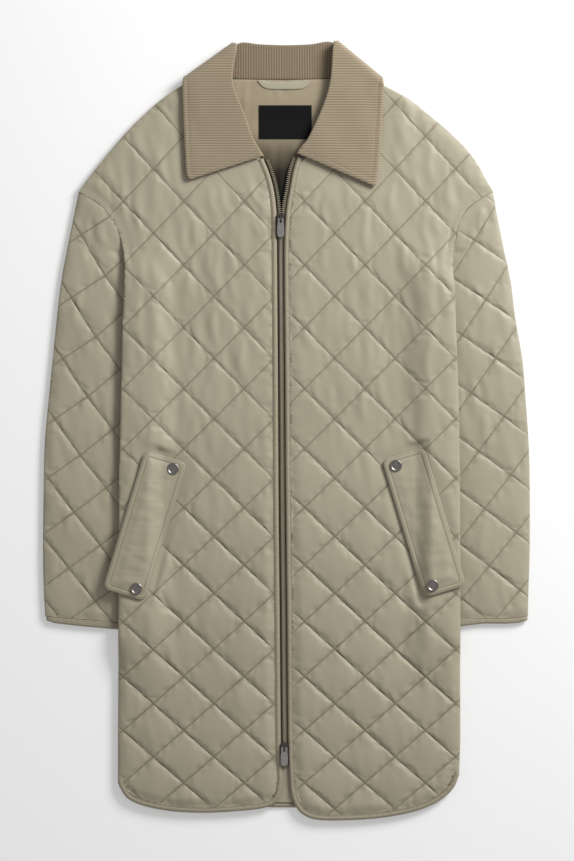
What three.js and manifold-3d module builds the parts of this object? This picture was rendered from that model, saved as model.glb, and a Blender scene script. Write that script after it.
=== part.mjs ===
// A quilted jacket that lies flat on its back, closed by a two-way zip, in millimetres.
// +X is the right side as seen from above, +Y runs to the collar, and +Z is up from the surface.
// Every cloth piece is a wall between two height fields, cut to the plan of its pattern piece.

import * as THREE from "three";
import { mergeVertices } from "three/addons/utils/BufferGeometryUtils.js";
import Module from "manifold-3d";

const wasm = await Module();
wasm.setup();

// Driving dimensions of the layers
const SEAM = 0.3; // between neighbouring pieces
const LAYER_GAP = 0.8; // between the back and the fronts that lie on it
const BACK_WALL = 5;
const BACK_WALL_AT_NECK = 4;
const FRONT_WALL = 3; // at a row of stitches
const FRONT_RIM = 2.2; // where a front is sewn to the back
const FRONT_PUFF = 6.5; // height of a filled diamond over its stitches
const PRESSED = 0.4; // share of the puff that is left under a flap or the collar
const SLEEVE_WALL_UNDER = 3.4;
const SLEEVE_GAP = 0.5;
const SLEEVE_WALL = 3;
const SLEEVE_RIM = 2;
const SLEEVE_PUFF = 6;
const SIDE_LIFT = 8.2; // the body's sides lie on the sleeves
const COLLAR_LIFT = 3.3; // the back of the neck lies on the turned collar
const LINING_WALL = 1.3;
const BINDING_WIDTH = 6.5;
const BINDING_HEIGHT = 3.9;
const TAPE_WIDTH = 3.9;
const TAPE_WALL = 1.5;
const TAPE_RISE = 1.3; // of the tape over the underside of the fronts
const FLAP_WALL = 2.4;
const FALL_WALL = 2.8;
const STAND_WALL = 2.6;

// Driving dimensions of the quilting
const STEPS = 4; // facets along one diamond
const BODY_PITCH = 75.6; // across, and the rows draw closer towards the hem
const BODY_NODE_X = 22.2;
const SLEEVE_PITCH = 72.5;
const bodyRowY = (k) => 207.2 - 79 * k + 0.775 * k * k;

// Each table has one row for a stage along a line, with columns for its left and right twin.
const table = (columns, ...rows) => {
  const named = (row) => Object.fromEntries(columns.map((name, k) => [name, row[k]]));
  return rows.map(named);
};
const PAIR = ["leftX", "leftY", "rightX", "rightY"];

// Shoulder seam, from the neck to the tip of the shoulder
const SHOULDER = table(
  PAIR,
  [-88, 446.5, 84, 447],
  [-106, 443, 95, 443],
  [-129, 433, 120, 432.5],
  [-158.5, 413, 156, 413],
  [-181, 393, 181, 393],
  [-200.5, 373, 204.5, 373],
  [-218, 353, 224.5, 353],
  [-234.5, 333, 239.5, 333],
  [-250, 313, 250.5, 313],
  [-260, 299.5, 258.5, 300],
);

// Armhole, from the shoulder tip to the underarm
const ARMHOLE = table(
  PAIR,
  [-260, 299.5, 258.5, 300],
  [-245.5, 290.5, 244.5, 291],
  [-233, 282, 232, 283],
  [-223, 272, 224, 274.5],
  [-214.5, 258.5, 217, 261],
  [-208, 243.5, 212, 242],
  [-204, 226, 209, 223.5],
  [-201.5, 207, 207, 207],
);

// Side seam of the body, from the underarm to the hem
const SIDE = table(
  ["y", "left", "right"],
  [207, -201.5, 207],
  [182, -202.5, 210],
  [138, -204.5, 211.5],
  [38, -207, 215],
  [-62, -209, 216.5],
  [-162, -209.5, 217],
  [-387, -211, 217.5],
  [-425, -211, 216.5],
);

// Edge of the fronts: neck opening, zip, turned corner and hem
const FRONT_EDGE = table(
  PAIR,
  [-29.5, 341, 14, 343.5],
  [-22, 323, 8, 325],
  [-16.5, 303, 4, 303],
  [-13.4, 281, 0, 280],
  [-12.4, 260, -2, 258],
  [-12.1, 213, -3, 213],
  [-11, 60, -1.8, 60],
  [-10.2, -87, -0.9, -87],
  [-8.7, -240, 0.7, -240],
  [-7.3, -389, 2.1, -389],
  [-5.6, -420, 3.4, -424],
  [-5.2, -440, 5.6, -453],
  [-8.5, -457, 12.5, -471.5],
  [-16, -467, 24.5, -482.5],
  [-31, -472.5, 43, -487.2],
  [-63, -476, 79, -487.2],
  [-102, -478, 117, -484.5],
  [-139, -476.5, 154, -478],
  [-168, -472, 179, -469.5],
  [-188, -466, 197, -459],
  [-201, -458, 209.5, -446],
  [-209, -445, 214.5, -434],
);

// Neck seam of the fronts, under the collar
const FRONT_NECK = table(
  PAIR,
  [-88, 446.5, 84, 447],
  [-90, 420, 86, 420],
  [-82, 384, 74, 384],
  [-64, 355, 54, 355.5],
  [-48, 346, 36, 347],
  [-29.5, 341, 14, 343.5],
);

// Hem of the back, from side to side
const BACK_HEM = table(
  ["x", "y"],
  [-210, -420],
  [-205, -434],
  [-196, -445],
  [-171, -459],
  [-133, -467],
  [-70, -471],
  [-3, -472],
  [67, -472],
  [142, -465.5],
  [180, -455.5],
  [201, -441],
  [211, -430],
  [215.5, -418],
);

// Outer edge of the sleeves
const SLEEVE_OUTER = table(
  ["y", "left", "right"],
  [299, -260, 258.5],
  [273, -265.5, 263],
  [253, -269.5, 267],
  [226, -275, 272.5],
  [188, -282, 280.5],
  [138, -288, 287],
  [88, -293, 295.5],
  [38, -298, 299.5],
  [-12, -302.5, 303],
  [-62, -304, 304.5],
  [-149, -305, 304.5],
  [-200, -304, 303],
  [-237, -301, 302],
);

// Inner edge of the sleeves, hidden under the body
const SLEEVE_INNER = table(
  ["y", "left", "right"],
  [206.5, -201.5, 207],
  [185, -191, 199],
  [150, -181, 189],
  [100, -177, 185],
  [-100, -177, 186],
  [-250, -179, 188],
);

// Ends of the sleeves: the line where the cloth meets its binding, and the binding's own edge
const CUFF = table(
  ["leftX", "leftSeam", "leftEnd", "rightX", "rightSeam", "rightEnd"],
  [-301, -232.5, -237.5, 302, -231.5, -237.5],
  [-291, -233.3, -241, 290, -233.5, -240.7],
  [-258, -235.7, -244.8, 274.5, -234.8, -241.7],
  [-225, -238.4, -247.7, 247, -235.2, -241.5],
  [-211, -240.3, -249, 219, -235.7, -244.8],
  [-178.5, -242, -251, 187.5, -237, -246.5],
);

// Collar, by sections from the roll line to the outer edge, from the front to the turned back
const FALL = table(
  ["leftRollX", "leftRollY", "rollZ", "leftEdgeX", "leftEdgeY", "edgeZ",
    "rightRollX", "rightRollY", "rightEdgeX", "rightEdgeY"],
  [-28, 343.5, 13, -120.5, 313.5, 13.6, 12.5, 346.5, 110, 305],
  [-33.5, 352, 14.6, -125.5, 320, 13.6, 19, 356, 113.5, 312],
  [-42, 367, 15.6, -127.5, 350, 13.6, 27.5, 367, 117, 345],
  [-54.5, 401, 17.4, -129.5, 392, 14.2, 45, 405, 120, 392],
  [-67, 438, 18.6, -130.5, 426, 16.4, 54.5, 438, 121.5, 426],
);
const FOLD = {
  left: { roll: [-66.5, 485.5], edge: [-131, 438.5] },
  right: { roll: [63, 488], edge: [122, 438.5] },
};
const FALL_TURN = table(["inset", "z"], [8, 17.6], [2.4, 15.4], [0.2, 9.4], [1.8, 3.6], [6, 1.4]);
const FALL_BACK = table(
  ["rollX", "rollY", "edgeX", "edgeY"],
  [-48, 481.5, -76, 424],
  [-25, 480, -38, 420],
  [-3, 479.5, -4, 419],
  [20, 480.5, 31, 420],
  [44, 483.5, 67, 424],
);

// Stand of the collar, by sections from the neck seam to the roll line
const STAND = table(
  ["leftNeckX", "leftNeckY", "neckZ", "leftRollX", "leftRollY", "rollZ",
    "rightNeckX", "rightNeckY", "rightRollX", "rightRollY"],
  [-50, 350, 9.4, -37, 358, 10.6, 38, 351, 22, 360],
  [-63, 358, 9.4, -45, 372, 11.8, 52, 358, 31.5, 372],
  [-80, 386, 9.6, -56, 402, 13.2, 72, 386, 45.5, 402],
  [-87.5, 419, 11.6, -68, 438, 14.2, 84, 420, 56, 438],
);
const STAND_TURN = {
  left: { neck: [-90, 451], roll: [-79.5, 465] },
  right: { neck: [86, 452], roll: [71, 468] },
};
const STAND_ROUND = table(["inset", "z"], [3, 13.6], [0.4, 11.6], [0.2, 7.4], [2.6, 4.9]);
const STAND_BACK = table(
  ["neckX", "neckY", "rollX", "rollY"],
  [-68, 441, -60.5, 482],
  [-35, 439.7, -33, 480],
  [-3, 439.5, -3, 479],
  [30, 439.9, 29, 480.5],
  [58, 441.4, 57.5, 484.5],
);

// Pockets, snaps, hanger loop, label and zip
const FLAP = { width: 55, length: 180, slant: 16.9, corner: 9 };
const FLAP_CENTRE = { left: [-176.5, -118.5], right: [171.5, -114.5] };
const SNAP = { radius: 7.5, height: 2.2, along: 78, across: 12.5 };
const LABEL = { centre: [-1.5, 386.2], size: [66, 42], wall: 0.8 };
const LOOP = { left: -36, right: 30.5, drop: 11.5, seamY: 438.3, tape: 9.5, wall: 1.2 };
const SLIDER = { width: 8.6, length: 13, height: 3.2, archWidth: 2.2 };
const SLIDERS = { top: [-7.2, 265], bottom: [-2.7, -396] };
const TAB = { length: 23, width: 8.8, neck: 7.4, wall: 1.3, barRise: 1.5, window: 5.2, tilt: 5 };
const TAPE_END_Y = -424;

// Small helpers
const clamp = (t) => Math.min(Math.max(t, 0), 1);
const smooth = (t) => clamp(t) ** 2 * (3 - 2 * clamp(t));
const round = (t) => Math.sqrt(1 - (1 - clamp(t)) ** 2);
const mix = (a, b, t) => a + (b - a) * t;
const SIGN = { left: -1, right: 1 };

function lookUp(rows, y, column) {
  const next = rows.findIndex((row) => row.y <= y);
  if (next === 0) return rows[0][column];
  if (next < 0) return rows[rows.length - 1][column];
  const upper = rows[next - 1];
  const lower = rows[next];
  return mix(lower[column], upper[column], (y - lower.y) / (upper.y - lower.y));
}

const pairLine = (rows, side) => rows.map((row) => [row[side + "X"], row[side + "Y"]]);
const sideLine = (rows, side) => rows.map((row) => [row[side], row.y]);
const plainLine = (rows) => rows.map((row) => [row.x, row.y]);

// A smooth line through the points of a table.
function curved(points, perSpan = 2) {
  const spline = new THREE.SplineCurve(points.map(([x, y]) => new THREE.Vector2(x, y)));
  return spline.getPoints((points.length - 1) * perSpan).map((p) => [p.x, p.y]);
}

// The line moved to its own left by a distance.
function beside(points, distance) {
  const last = points.length - 1;
  return points.map(([x, y], k) => {
    const [ax, ay] = points[Math.max(k - 1, 0)];
    const [bx, by] = points[Math.min(k + 1, last)];
    const length = Math.hypot(bx - ax, by - ay);
    return [x - ((by - ay) / length) * distance, y + ((bx - ax) / length) * distance];
  });
}

function distanceTo(points, x, y) {
  let nearest = Infinity;
  for (let k = 1; k < points.length; k++) {
    const [ax, ay] = points[k - 1];
    const [bx, by] = points[k];
    const span = (bx - ax) ** 2 + (by - ay) ** 2;
    const t = clamp(((x - ax) * (bx - ax) + (y - ay) * (by - ay)) / span);
    nearest = Math.min(nearest, Math.hypot(x - mix(ax, bx, t), y - mix(ay, by, t)));
  }
  return nearest;
}

// Solids: three.js geometry to manifold-3d and back
function solid(geometry) {
  const bare = geometry.clone();
  bare.deleteAttribute("normal");
  bare.deleteAttribute("uv");
  const merged = mergeVertices(bare, 1e-4);
  const vertProperties = merged.attributes.position.array;
  const triVerts = new Uint32Array(merged.index.array);
  return new wasm.Manifold(new wasm.Mesh({ numProp: 3, vertProperties, triVerts }));
}

function geometryOf(made) {
  const { numProp, vertProperties, triVerts } = made.getMesh();
  const places = [];
  for (let k = 0; k < vertProperties.length; k += numProp) {
    places.push(...vertProperties.subarray(k, k + 3));
  }
  const geometry = new THREE.BufferGeometry();
  geometry.setAttribute("position", new THREE.Float32BufferAttribute(places, 3));
  geometry.setIndex([...triVerts]);
  geometry.computeVertexNormals();
  return geometry;
}

function meshSolid(places, faces) {
  const geometry = new THREE.BufferGeometry();
  geometry.setAttribute("position", new THREE.Float32BufferAttribute(places.flat(), 3));
  geometry.setIndex(faces.flat());
  const made = solid(geometry);
  if (made.volume() > 0) return made;
  geometry.setIndex(faces.map(([a, b, c]) => [a, c, b]).flat());
  return solid(geometry);
}

// Plans are cut through from LOW to HIGH, well clear of the jacket, and a ground starts at FLOOR.
const FLOOR = -35;
const LOW = -30;
const HIGH = 60;

// The upright prism over a plan outline.
function prism(outline) {
  const shape = new THREE.Shape(outline.map(([x, y]) => new THREE.Vector2(x, y)));
  const geometry = new THREE.ExtrudeGeometry(shape, { depth: HIGH - LOW, bevelEnabled: false });
  geometry.translate(0, 0, LOW);
  return solid(geometry);
}

// Which way a facet's diagonal runs, so that rows of stitches fall on facet edges.
function risingDiagonal(i, j) {
  const toRising = Math.min((i - j + 60) % STEPS, (j - i + 60) % STEPS);
  const toFalling = Math.min((i + j + 1) % STEPS, (60 * STEPS - i - j - 1) % STEPS);
  return toRising <= toFalling;
}

// The ground below a height field: grid.place gives a plan point and rise its height.
function ground(grid, rise) {
  const { columns, rows, place } = grid;
  const top = [];
  const floor = [];
  for (let j = 0; j <= rows; j++) {
    for (let i = 0; i <= columns; i++) {
      const [x, y] = place(i, j);
      top.push([x, y, rise(x, y, i, j)]);
      floor.push([x, y, FLOOR]);
    }
  }
  const at = (i, j) => j * (columns + 1) + i;
  const under = (corner) => corner + top.length;
  const faces = [];
  const wall = (a, b) => faces.push([b, a, under(a)], [b, under(a), under(b)]);
  for (let j = 0; j < rows; j++) {
    for (let i = 0; i < columns; i++) {
      const [a, b, c, d] = [at(i, j), at(i + 1, j), at(i + 1, j + 1), at(i, j + 1)];
      const halves = risingDiagonal(i, j) ? [[a, b, c], [a, c, d]] : [[a, b, d], [b, c, d]];
      faces.push(...halves, ...halves.map(([p, q, r]) => [under(p), under(r), under(q)]));
    }
    wall(at(0, j + 1), at(0, j));
    wall(at(columns, j), at(columns, j + 1));
  }
  for (let i = 0; i < columns; i++) {
    wall(at(i, 0), at(i + 1, 0));
    wall(at(i + 1, rows), at(i, rows));
  }
  return meshSolid([...top, ...floor], faces);
}

// A wall cut to its plan, below one ground and above others.
function wallBetween(plan, topGround, ...lowerGrounds) {
  return lowerGrounds.reduce((made, lower) => made.subtract(lower), plan.intersect(topGround));
}

// A ribbon along a line: its section gives the distance beside the line and the height.
function ribbon(line, side, section, base) {
  const places = [];
  const turns = section.map(([across]) => beside(line, SIGN[side] * across));
  line.forEach((_, k) => {
    section.forEach(([, height], s) => {
      const [x, y] = turns[s][k];
      places.push([x, y, base(x, y) + height]);
    });
  });
  const count = section.length;
  const faces = [];
  for (let k = 1; k < line.length; k++) {
    for (let s = 0; s < count; s++) {
      const next = (s + 1) % count;
      const [a, b] = [(k - 1) * count + s, (k - 1) * count + next];
      faces.push([a, b, b + count], [a, b + count, a + count]);
    }
  }
  const end = (line.length - 1) * count;
  for (let s = 1; s < count - 1; s++) {
    faces.push([0, s + 1, s], [end, end + s, end + s + 1]);
  }
  return meshSolid(places, faces);
}

// A wall of even thickness about a grid of middle points, given as rows of sections.
function wallAbout(sections, thickness) {
  const rows = sections.length;
  const count = sections[0].length;
  const point = (j, i) => new THREE.Vector3(...sections[j][i]);
  const outer = [];
  const inner = [];
  for (let j = 0; j < rows; j++) {
    for (let i = 0; i < count; i++) {
      const along = point(Math.min(j + 1, rows - 1), i).sub(point(Math.max(j - 1, 0), i));
      const across = point(j, Math.min(i + 1, count - 1)).sub(point(j, Math.max(i - 1, 0)));
      const normal = along.cross(across).setLength(thickness / 2);
      outer.push(point(j, i).add(normal).toArray());
      inner.push(point(j, i).sub(normal).toArray());
    }
  }
  const at = (j, i) => j * count + i;
  const back = (corner) => corner + outer.length;
  const faces = [];
  const quad = (a, b, c, d) => faces.push([a, b, c], [a, c, d]);
  for (let j = 0; j < rows - 1; j++) {
    for (let i = 0; i < count - 1; i++) {
      const [a, b, c, d] = [at(j, i), at(j, i + 1), at(j + 1, i + 1), at(j + 1, i)];
      quad(a, b, c, d);
      quad(back(d), back(c), back(b), back(a));
    }
    quad(at(j, 0), at(j + 1, 0), back(at(j + 1, 0)), back(at(j, 0)));
    quad(at(j + 1, count - 1), at(j, count - 1), back(at(j, count - 1)), back(at(j + 1, count - 1)));
  }
  for (let i = 0; i < count - 1; i++) {
    quad(at(0, i + 1), at(0, i), back(at(0, i)), back(at(0, i + 1)));
    quad(at(rows - 1, i), at(rows - 1, i + 1), back(at(rows - 1, i + 1)), back(at(rows - 1, i)));
  }
  return meshSolid(outer.concat(inner), faces);
}

// Lines of the pattern pieces
const bothSides = (make) => ({ left: make("left"), right: make("right") });
const shoulder = bothSides((side) => curved(pairLine(SHOULDER, side)));
const armhole = bothSides((side) => curved(pairLine(ARMHOLE, side)));
const sideSeam = bothSides((side) => sideLine(SIDE, side));
const frontEdge = bothSides((side) => curved(pairLine(FRONT_EDGE, side)));
const frontNeck = bothSides((side) => curved(pairLine(FRONT_NECK, side)));
const panelEdge = bothSides((side) => beside(frontEdge[side], SIGN[side] * (BINDING_WIDTH + SEAM)));
const backHem = curved(plainLine(BACK_HEM));
const sleeveOuter = bothSides((side) => curved(sideLine(SLEEVE_OUTER, side)));
const sleeveInner = bothSides((side) => sideLine(SLEEVE_INNER, side));

// Height of the body's underside: it rests on the surface, on the sleeves and on the turned collar.
const insetOf = (x, y) => Math.min(x - lookUp(SIDE, y, "left"), lookUp(SIDE, y, "right") - x);
const SLEEVE_REST = { topStart: 245, topFull: 190, lowFull: -256, lowEnd: -300, full: 34, end: 57 };
const COLLAR_REST = { start: 384, full: 416, end: 170, wide: 147 };

function sideLift(x, y) {
  const rest = SLEEVE_REST;
  const upper = smooth((rest.topStart - y) / (rest.topStart - rest.topFull));
  const lower = smooth((y - rest.lowEnd) / (rest.lowFull - rest.lowEnd));
  const inward = smooth((rest.end - insetOf(x, y)) / (rest.end - rest.full));
  return SIDE_LIFT * upper * lower * inward;
}

function collarLift(x, y) {
  const rest = COLLAR_REST;
  const along = smooth((y - rest.start) / (rest.full - rest.start));
  return COLLAR_LIFT * along * smooth((rest.end - Math.abs(x)) / (rest.end - rest.wide));
}

const SIDE_ROUND = { width: 12, height: 2.5 };
const neckShare = (y) => smooth((y - 380) / 30);
const bodyLift = (x, y) => sideLift(x, y) + collarLift(x, y);
const backTop = (x, y) => bodyLift(x, y) + mix(BACK_WALL, BACK_WALL_AT_NECK, neckShare(y));
const frontUnder = (x, y) => backTop(x, y) + LAYER_GAP;
const backUnder = (x, y) => {
  const rounding = y < SIDE[0].y ? 1 - clamp(insetOf(x, y) / SIDE_ROUND.width) : 0;
  return bodyLift(x, y) + SIDE_ROUND.height * rounding ** 2;
};

// The plain grid of the body follows both side seams.
const BODY_INSETS = [-80, -12, 0, 5, 12, 34, 46, 57];
const BODY_MIDDLE = [-110, -50, 50, 110];
const BODY_ROWS = [
  520, 455, 437, 416, 405, 395, 384, 300, 245, 232, 218, 204, 190, 60, -62, -162, -256, -270, -285,
  -300, -420, -520,
];
const bodyColumns = 2 * BODY_INSETS.length + BODY_MIDDLE.length - 1;
function placeOnBody(i, j) {
  const y = BODY_ROWS[j];
  const fromRight = bodyColumns - i;
  if (i < BODY_INSETS.length) return [lookUp(SIDE, y, "left") + BODY_INSETS[i], y];
  if (fromRight < BODY_INSETS.length) return [lookUp(SIDE, y, "right") - BODY_INSETS[fromRight], y];
  return [BODY_MIDDLE[i - BODY_INSETS.length], y];
}
const bodyGrid = { columns: bodyColumns, rows: BODY_ROWS.length - 1, place: placeOnBody };

// Diamond quilting: zero on its rows of stitches and one in the middle of a diamond.
function puff(across, along) {
  const rising = Math.abs(Math.sin(Math.PI * (across + along)));
  const falling = Math.abs(Math.sin(Math.PI * (across - along)));
  return Math.sqrt(rising * falling);
}

function roundedPlan(width, length, corner, centre, turn) {
  const [w, h] = [width / 2 - corner, length / 2 - corner];
  const shape = new THREE.Shape();
  shape.absarc(w, h, corner, 0, Math.PI / 2);
  shape.absarc(-w, h, corner, Math.PI / 2, Math.PI);
  shape.absarc(-w, -h, corner, Math.PI, 1.5 * Math.PI);
  shape.absarc(w, -h, corner, 1.5 * Math.PI, 2 * Math.PI);
  const middle = new THREE.Vector2(...centre);
  const spin = (p) => p.rotateAround(new THREE.Vector2(), turn).add(middle);
  return shape.getPoints(4).map(spin).map((p) => [p.x, p.y]);
}

const flapTurn = bothSides((side) => THREE.MathUtils.degToRad(SIGN[side] * FLAP.slant));
const flapPlan = bothSides((side) =>
  roundedPlan(FLAP.width, FLAP.length, FLAP.corner, FLAP_CENTRE[side], flapTurn[side]),
);

// Share of the puff that is left: none at a seam, and less under a flap or the collar.
const FLAP_FEATHER = 12;
function pressedBy(side, x, y) {
  const [cx, cy] = FLAP_CENTRE[side];
  const place = new THREE.Vector2(x - cx, y - cy);
  place.rotateAround(new THREE.Vector2(), -flapTurn[side]);
  const outside = Math.max(Math.abs(place.x) - FLAP.width / 2, Math.abs(place.y) - FLAP.length / 2);
  return smooth(1 - outside / FLAP_FEATHER);
}
const underCollar = (x, y) => smooth((y - 288) / 30) * smooth((145 - Math.abs(x + 4)) / 15);

const frontCoverage = (side, x, y) => {
  const cover = Math.max(pressedBy(side, x, y), underCollar(x, y));
  return mix(1, PRESSED, cover);
};

const PUFF_FADE = { edge: 12, side: 22, shoulder: 18, armhole: 18 };
function frontTop(side, x, y, across, along) {
  const seams = [
    distanceTo(panelEdge[side], x, y) / PUFF_FADE.edge,
    distanceTo(frontNeck[side], x, y) / PUFF_FADE.edge,
    distanceTo(armhole[side], x, y) / PUFF_FADE.armhole,
  ];
  const sewn = Math.min(...seams.map(smooth));
  const rolled = Math.min(
    round(distanceTo(sideSeam[side], x, y) / PUFF_FADE.side),
    round(distanceTo(shoulder[side], x, y) / PUFF_FADE.shoulder),
  );
  const filled = FRONT_PUFF * puff(across, along) * sewn * frontCoverage(side, x, y);
  return frontUnder(x, y) + FRONT_RIM + (FRONT_WALL - FRONT_RIM + filled) * rolled;
}

// The quilted grid of a front has its facet edges on the rows of stitches.
const FRONT_SPAN = { left: [-3.75, 0], right: [-0.75, 3] }; // in diamonds across
const FRONT_ROWS = [-3.5, 10]; // in diamonds along
function frontGrid(side) {
  const [from, to] = FRONT_SPAN[side].map((share) => Math.round(share * STEPS));
  const [first, last] = FRONT_ROWS.map((share) => Math.round(share * STEPS));
  const phase = (i, j) => [(from + i) / STEPS, (first + j) / STEPS];
  const place = (i, j) => {
    const [across, along] = phase(i, j);
    return [BODY_NODE_X + BODY_PITCH * across, bodyRowY(along)];
  };
  return { columns: to - from, rows: last - first, place, phase };
}

const quiltGrid = bothSides(frontGrid);
const quiltGround = (side, extra) =>
  ground(quiltGrid[side], (x, y, i, j) => {
    return frontTop(side, x, y, ...quiltGrid[side].phase(i, j)) + extra;
  });

// Sleeve quilting: rows run across the sleeve from a curved middle line.
const SLEEVE_LATTICE = {
  left: {
    axis: (m) => [-227.5 - 12.3 * m + 0.65 * m * m, 193.9 - 77.5 * m + 0.85 * m * m],
    tilt: (m, u) => (u < 0 ? 0.03 * m - 0.32 : -0.03 - 0.03 * m),
    across: [-1, 1.5],
  },
  right: {
    axis: (m) => [235 + 15.2 * m - 0.95 * m * m, 238.3 - 74.2 * m + 0.2 * m * m],
    tilt: (m) => 0.24 - 0.015 * m,
    across: [-2, 1],
  },
};
const SLEEVE_ROWS = [-2, 7];
function sleeveGrid(side) {
  const { axis, tilt, across } = SLEEVE_LATTICE[side];
  const [from, to] = across.map((share) => Math.round(share * STEPS));
  const [first, last] = SLEEVE_ROWS.map((share) => share * STEPS);
  const phase = (i, j) => [(from + i) / STEPS, (first + j) / STEPS];
  const place = (i, j) => {
    const [u, m] = phase(i, j);
    const [x, y] = axis(m);
    const step = SLEEVE_PITCH * u;
    return [x + step, y + step * tilt(m, u)];
  };
  return { columns: to - from, rows: last - first, place, phase };
}

const TUCK = { clear: 0.6, slope: 0.55 };
function sleeveTop(side, x, y, across, along) {
  const outer = distanceTo(sleeveOuter[side], x, y);
  const sewn = smooth(distanceTo(armhole[side], x, y) / PUFF_FADE.armhole);
  const cuff = smooth((y - lookUp(cuffRows[side], x, "seam")) / PUFF_FADE.edge);
  const filled = SLEEVE_PUFF * puff(across, along) * Math.min(sewn, cuff);
  const base = SLEEVE_WALL_UNDER + SLEEVE_GAP + SLEEVE_RIM;
  const free = base + (SLEEVE_WALL - SLEEVE_RIM + filled) * round(outer / PUFF_FADE.side);
  const outside = Math.max(SIGN[side] * (x - lookUp(SIDE, y, side)), 0);
  const roof = y < SIDE[0].y + 20 ? bodyLift(x, y) - TUCK.clear + TUCK.slope * outside : Infinity;
  return Math.min(free, Math.max(roof, base - 0.4));
}

// The cuff's lines as tables from high to low x, so that they can be looked up.
const cuffRows = bothSides((side) => {
  const rows = CUFF.map((row) => ({ y: row[side + "X"], seam: row[side + "Seam"] }));
  return rows.sort((a, b) => b.y - a.y);
});
const cuffSeam = bothSides((side) => CUFF.map((row) => [row[side + "X"], row[side + "Seam"]]));

// Plans of the cloth pieces
const NECK_INSET = 1.6; // of the cloth from its neck seam, which the stand's wall straddles
function frontPlan(side) {
  return [
    ...beside(frontNeck[side], SIGN[side] * NECK_INSET).slice(0, -2),
    ...panelEdge[side],
    ...sideSeam[side].slice().reverse(),
    ...armhole[side].slice(1, -1).reverse(),
    ...shoulder[side].slice(1).reverse(),
  ];
}

const BACK_NECK = [[84, 446], [59, 440.4], [-3, 438.8], [-72, 440], [-88, 445.6]];
const backPlan = [
  ...shoulder.left.slice(1),
  ...armhole.left.slice(1),
  ...sideSeam.left.slice(1, -1),
  ...beside(backHem, BINDING_WIDTH + SEAM),
  ...sideSeam.right.slice(1, -1).reverse(),
  ...armhole.right.slice(1).reverse(),
  ...shoulder.right.slice(1, -1).reverse(),
  ...BACK_NECK,
];

function sleevePlan(side) {
  return [
    ...armhole[side].map(([x, y]) => [x + SIGN[side] * SEAM, y - SEAM]),
    ...sleeveInner[side].slice(1, -1),
    ...cuffSeam[side].slice().reverse(),
    ...sleeveOuter[side].slice(1, -1).reverse(),
  ];
}

// Colours and finishes of the real cloths and metal
const finish = (color, roughness, metalness = 0) => {
  return new THREE.MeshStandardMaterial({ color, roughness, metalness });
};
const quiltCloth = finish(0xa89a78, 0.45);
const corduroy = finish(0xa8937a, 0.95);
const bindingCloth = finish(0xa08d72, 0.7);
const liningCloth = finish(0xbfae92, 0.6);
const tapeCloth = finish(0xb3a488, 0.8);
const labelCloth = finish(0x141416, 0.8);
const metal = finish(0x8a8480, 0.35, 1);

const jacket = new THREE.Group();
function add(name, made, material) {
  const mesh = new THREE.Mesh(geometryOf(made), material);
  mesh.name = name;
  jacket.add(mesh);
  return mesh;
}

// The back is plain: it rests on the surface outside and on the fronts inside.
const backGround = ground(bodyGrid, backTop);
add("back", wallBetween(prism(backPlan), backGround, ground(bodyGrid, backUnder)), quiltCloth);

// The fronts lie on the back, and their puffs rise over a plain inside.
const frontFloor = ground(bodyGrid, frontUnder);
const frontPrism = bothSides((side) => prism(frontPlan(side)));
for (const side of ["left", "right"]) {
  const front = wallBetween(frontPrism[side], quiltGround(side, 0), frontFloor);
  add("front_" + side, front, quiltCloth);
}

// Each sleeve is a flattened tube of an upper and an under wall.
const SLEEVE_INSETS = [-8, 0, 4, 9, 40, 170];
const SLEEVE_EDGE_ROUND = { width: 9, height: 2 };
const sleeveFloorGrid = (side) => ({
  columns: SLEEVE_INSETS.length - 1,
  rows: SLEEVE_OUTER.length + 1,
  place: (i, j) => {
    const ys = [340, ...SLEEVE_OUTER.map((row) => row.y), -275];
    const x = lookUp(SLEEVE_OUTER, ys[j], side) - SIGN[side] * SLEEVE_INSETS[i];
    return [x, ys[j]];
  },
});
const sleeveFloor = (side, x, y) => {
  const inset = SIGN[side] * (lookUp(SLEEVE_OUTER, y, side) - x);
  return SLEEVE_EDGE_ROUND.height * (1 - clamp(inset / SLEEVE_EDGE_ROUND.width)) ** 2;
};
const sleevePrism = bothSides((side) => prism(sleevePlan(side)));
const sleeveQuilt = bothSides(sleeveGrid);
for (const side of ["left", "right"]) {
  const grid = sleeveFloorGrid(side);
  const flat = (height) => ground(grid, () => height);
  const bottom = ground(grid, (x, y) => sleeveFloor(side, x, y));
  const quilted = ground(sleeveQuilt[side], (x, y, i, j) => {
    return sleeveTop(side, x, y, ...sleeveQuilt[side].phase(i, j));
  });
  const upper = wallBetween(sleevePrism[side], quilted, flat(SLEEVE_WALL_UNDER + SLEEVE_GAP));
  const under = wallBetween(sleevePrism[side], flat(SLEEVE_WALL_UNDER), bottom);
  add("sleeve_" + side + "_upper", upper, quiltCloth);
  add("sleeve_" + side + "_under", under, quiltCloth);
}

// Bindings wrap the raw edges with a rounded strip.
const bindingSection = [
  [0.2, 0.5], [0, 2], [1.2, 3.5], [3.2, BINDING_HEIGHT], [5.4, 3.4], [BINDING_WIDTH, 2],
  [BINDING_WIDTH, 0.2],
];
for (const side of ["left", "right"]) {
  const strip = ribbon(frontEdge[side], side, bindingSection, frontUnder);
  add("front_binding_" + side, strip, bindingCloth);
}
const hemSection = bindingSection.map(([across, height]) => [across, Math.max(height + 0.3, 0.5)]);
add("back_hem_binding", ribbon(backHem, "right", hemSection, backUnder), bindingCloth);

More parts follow.
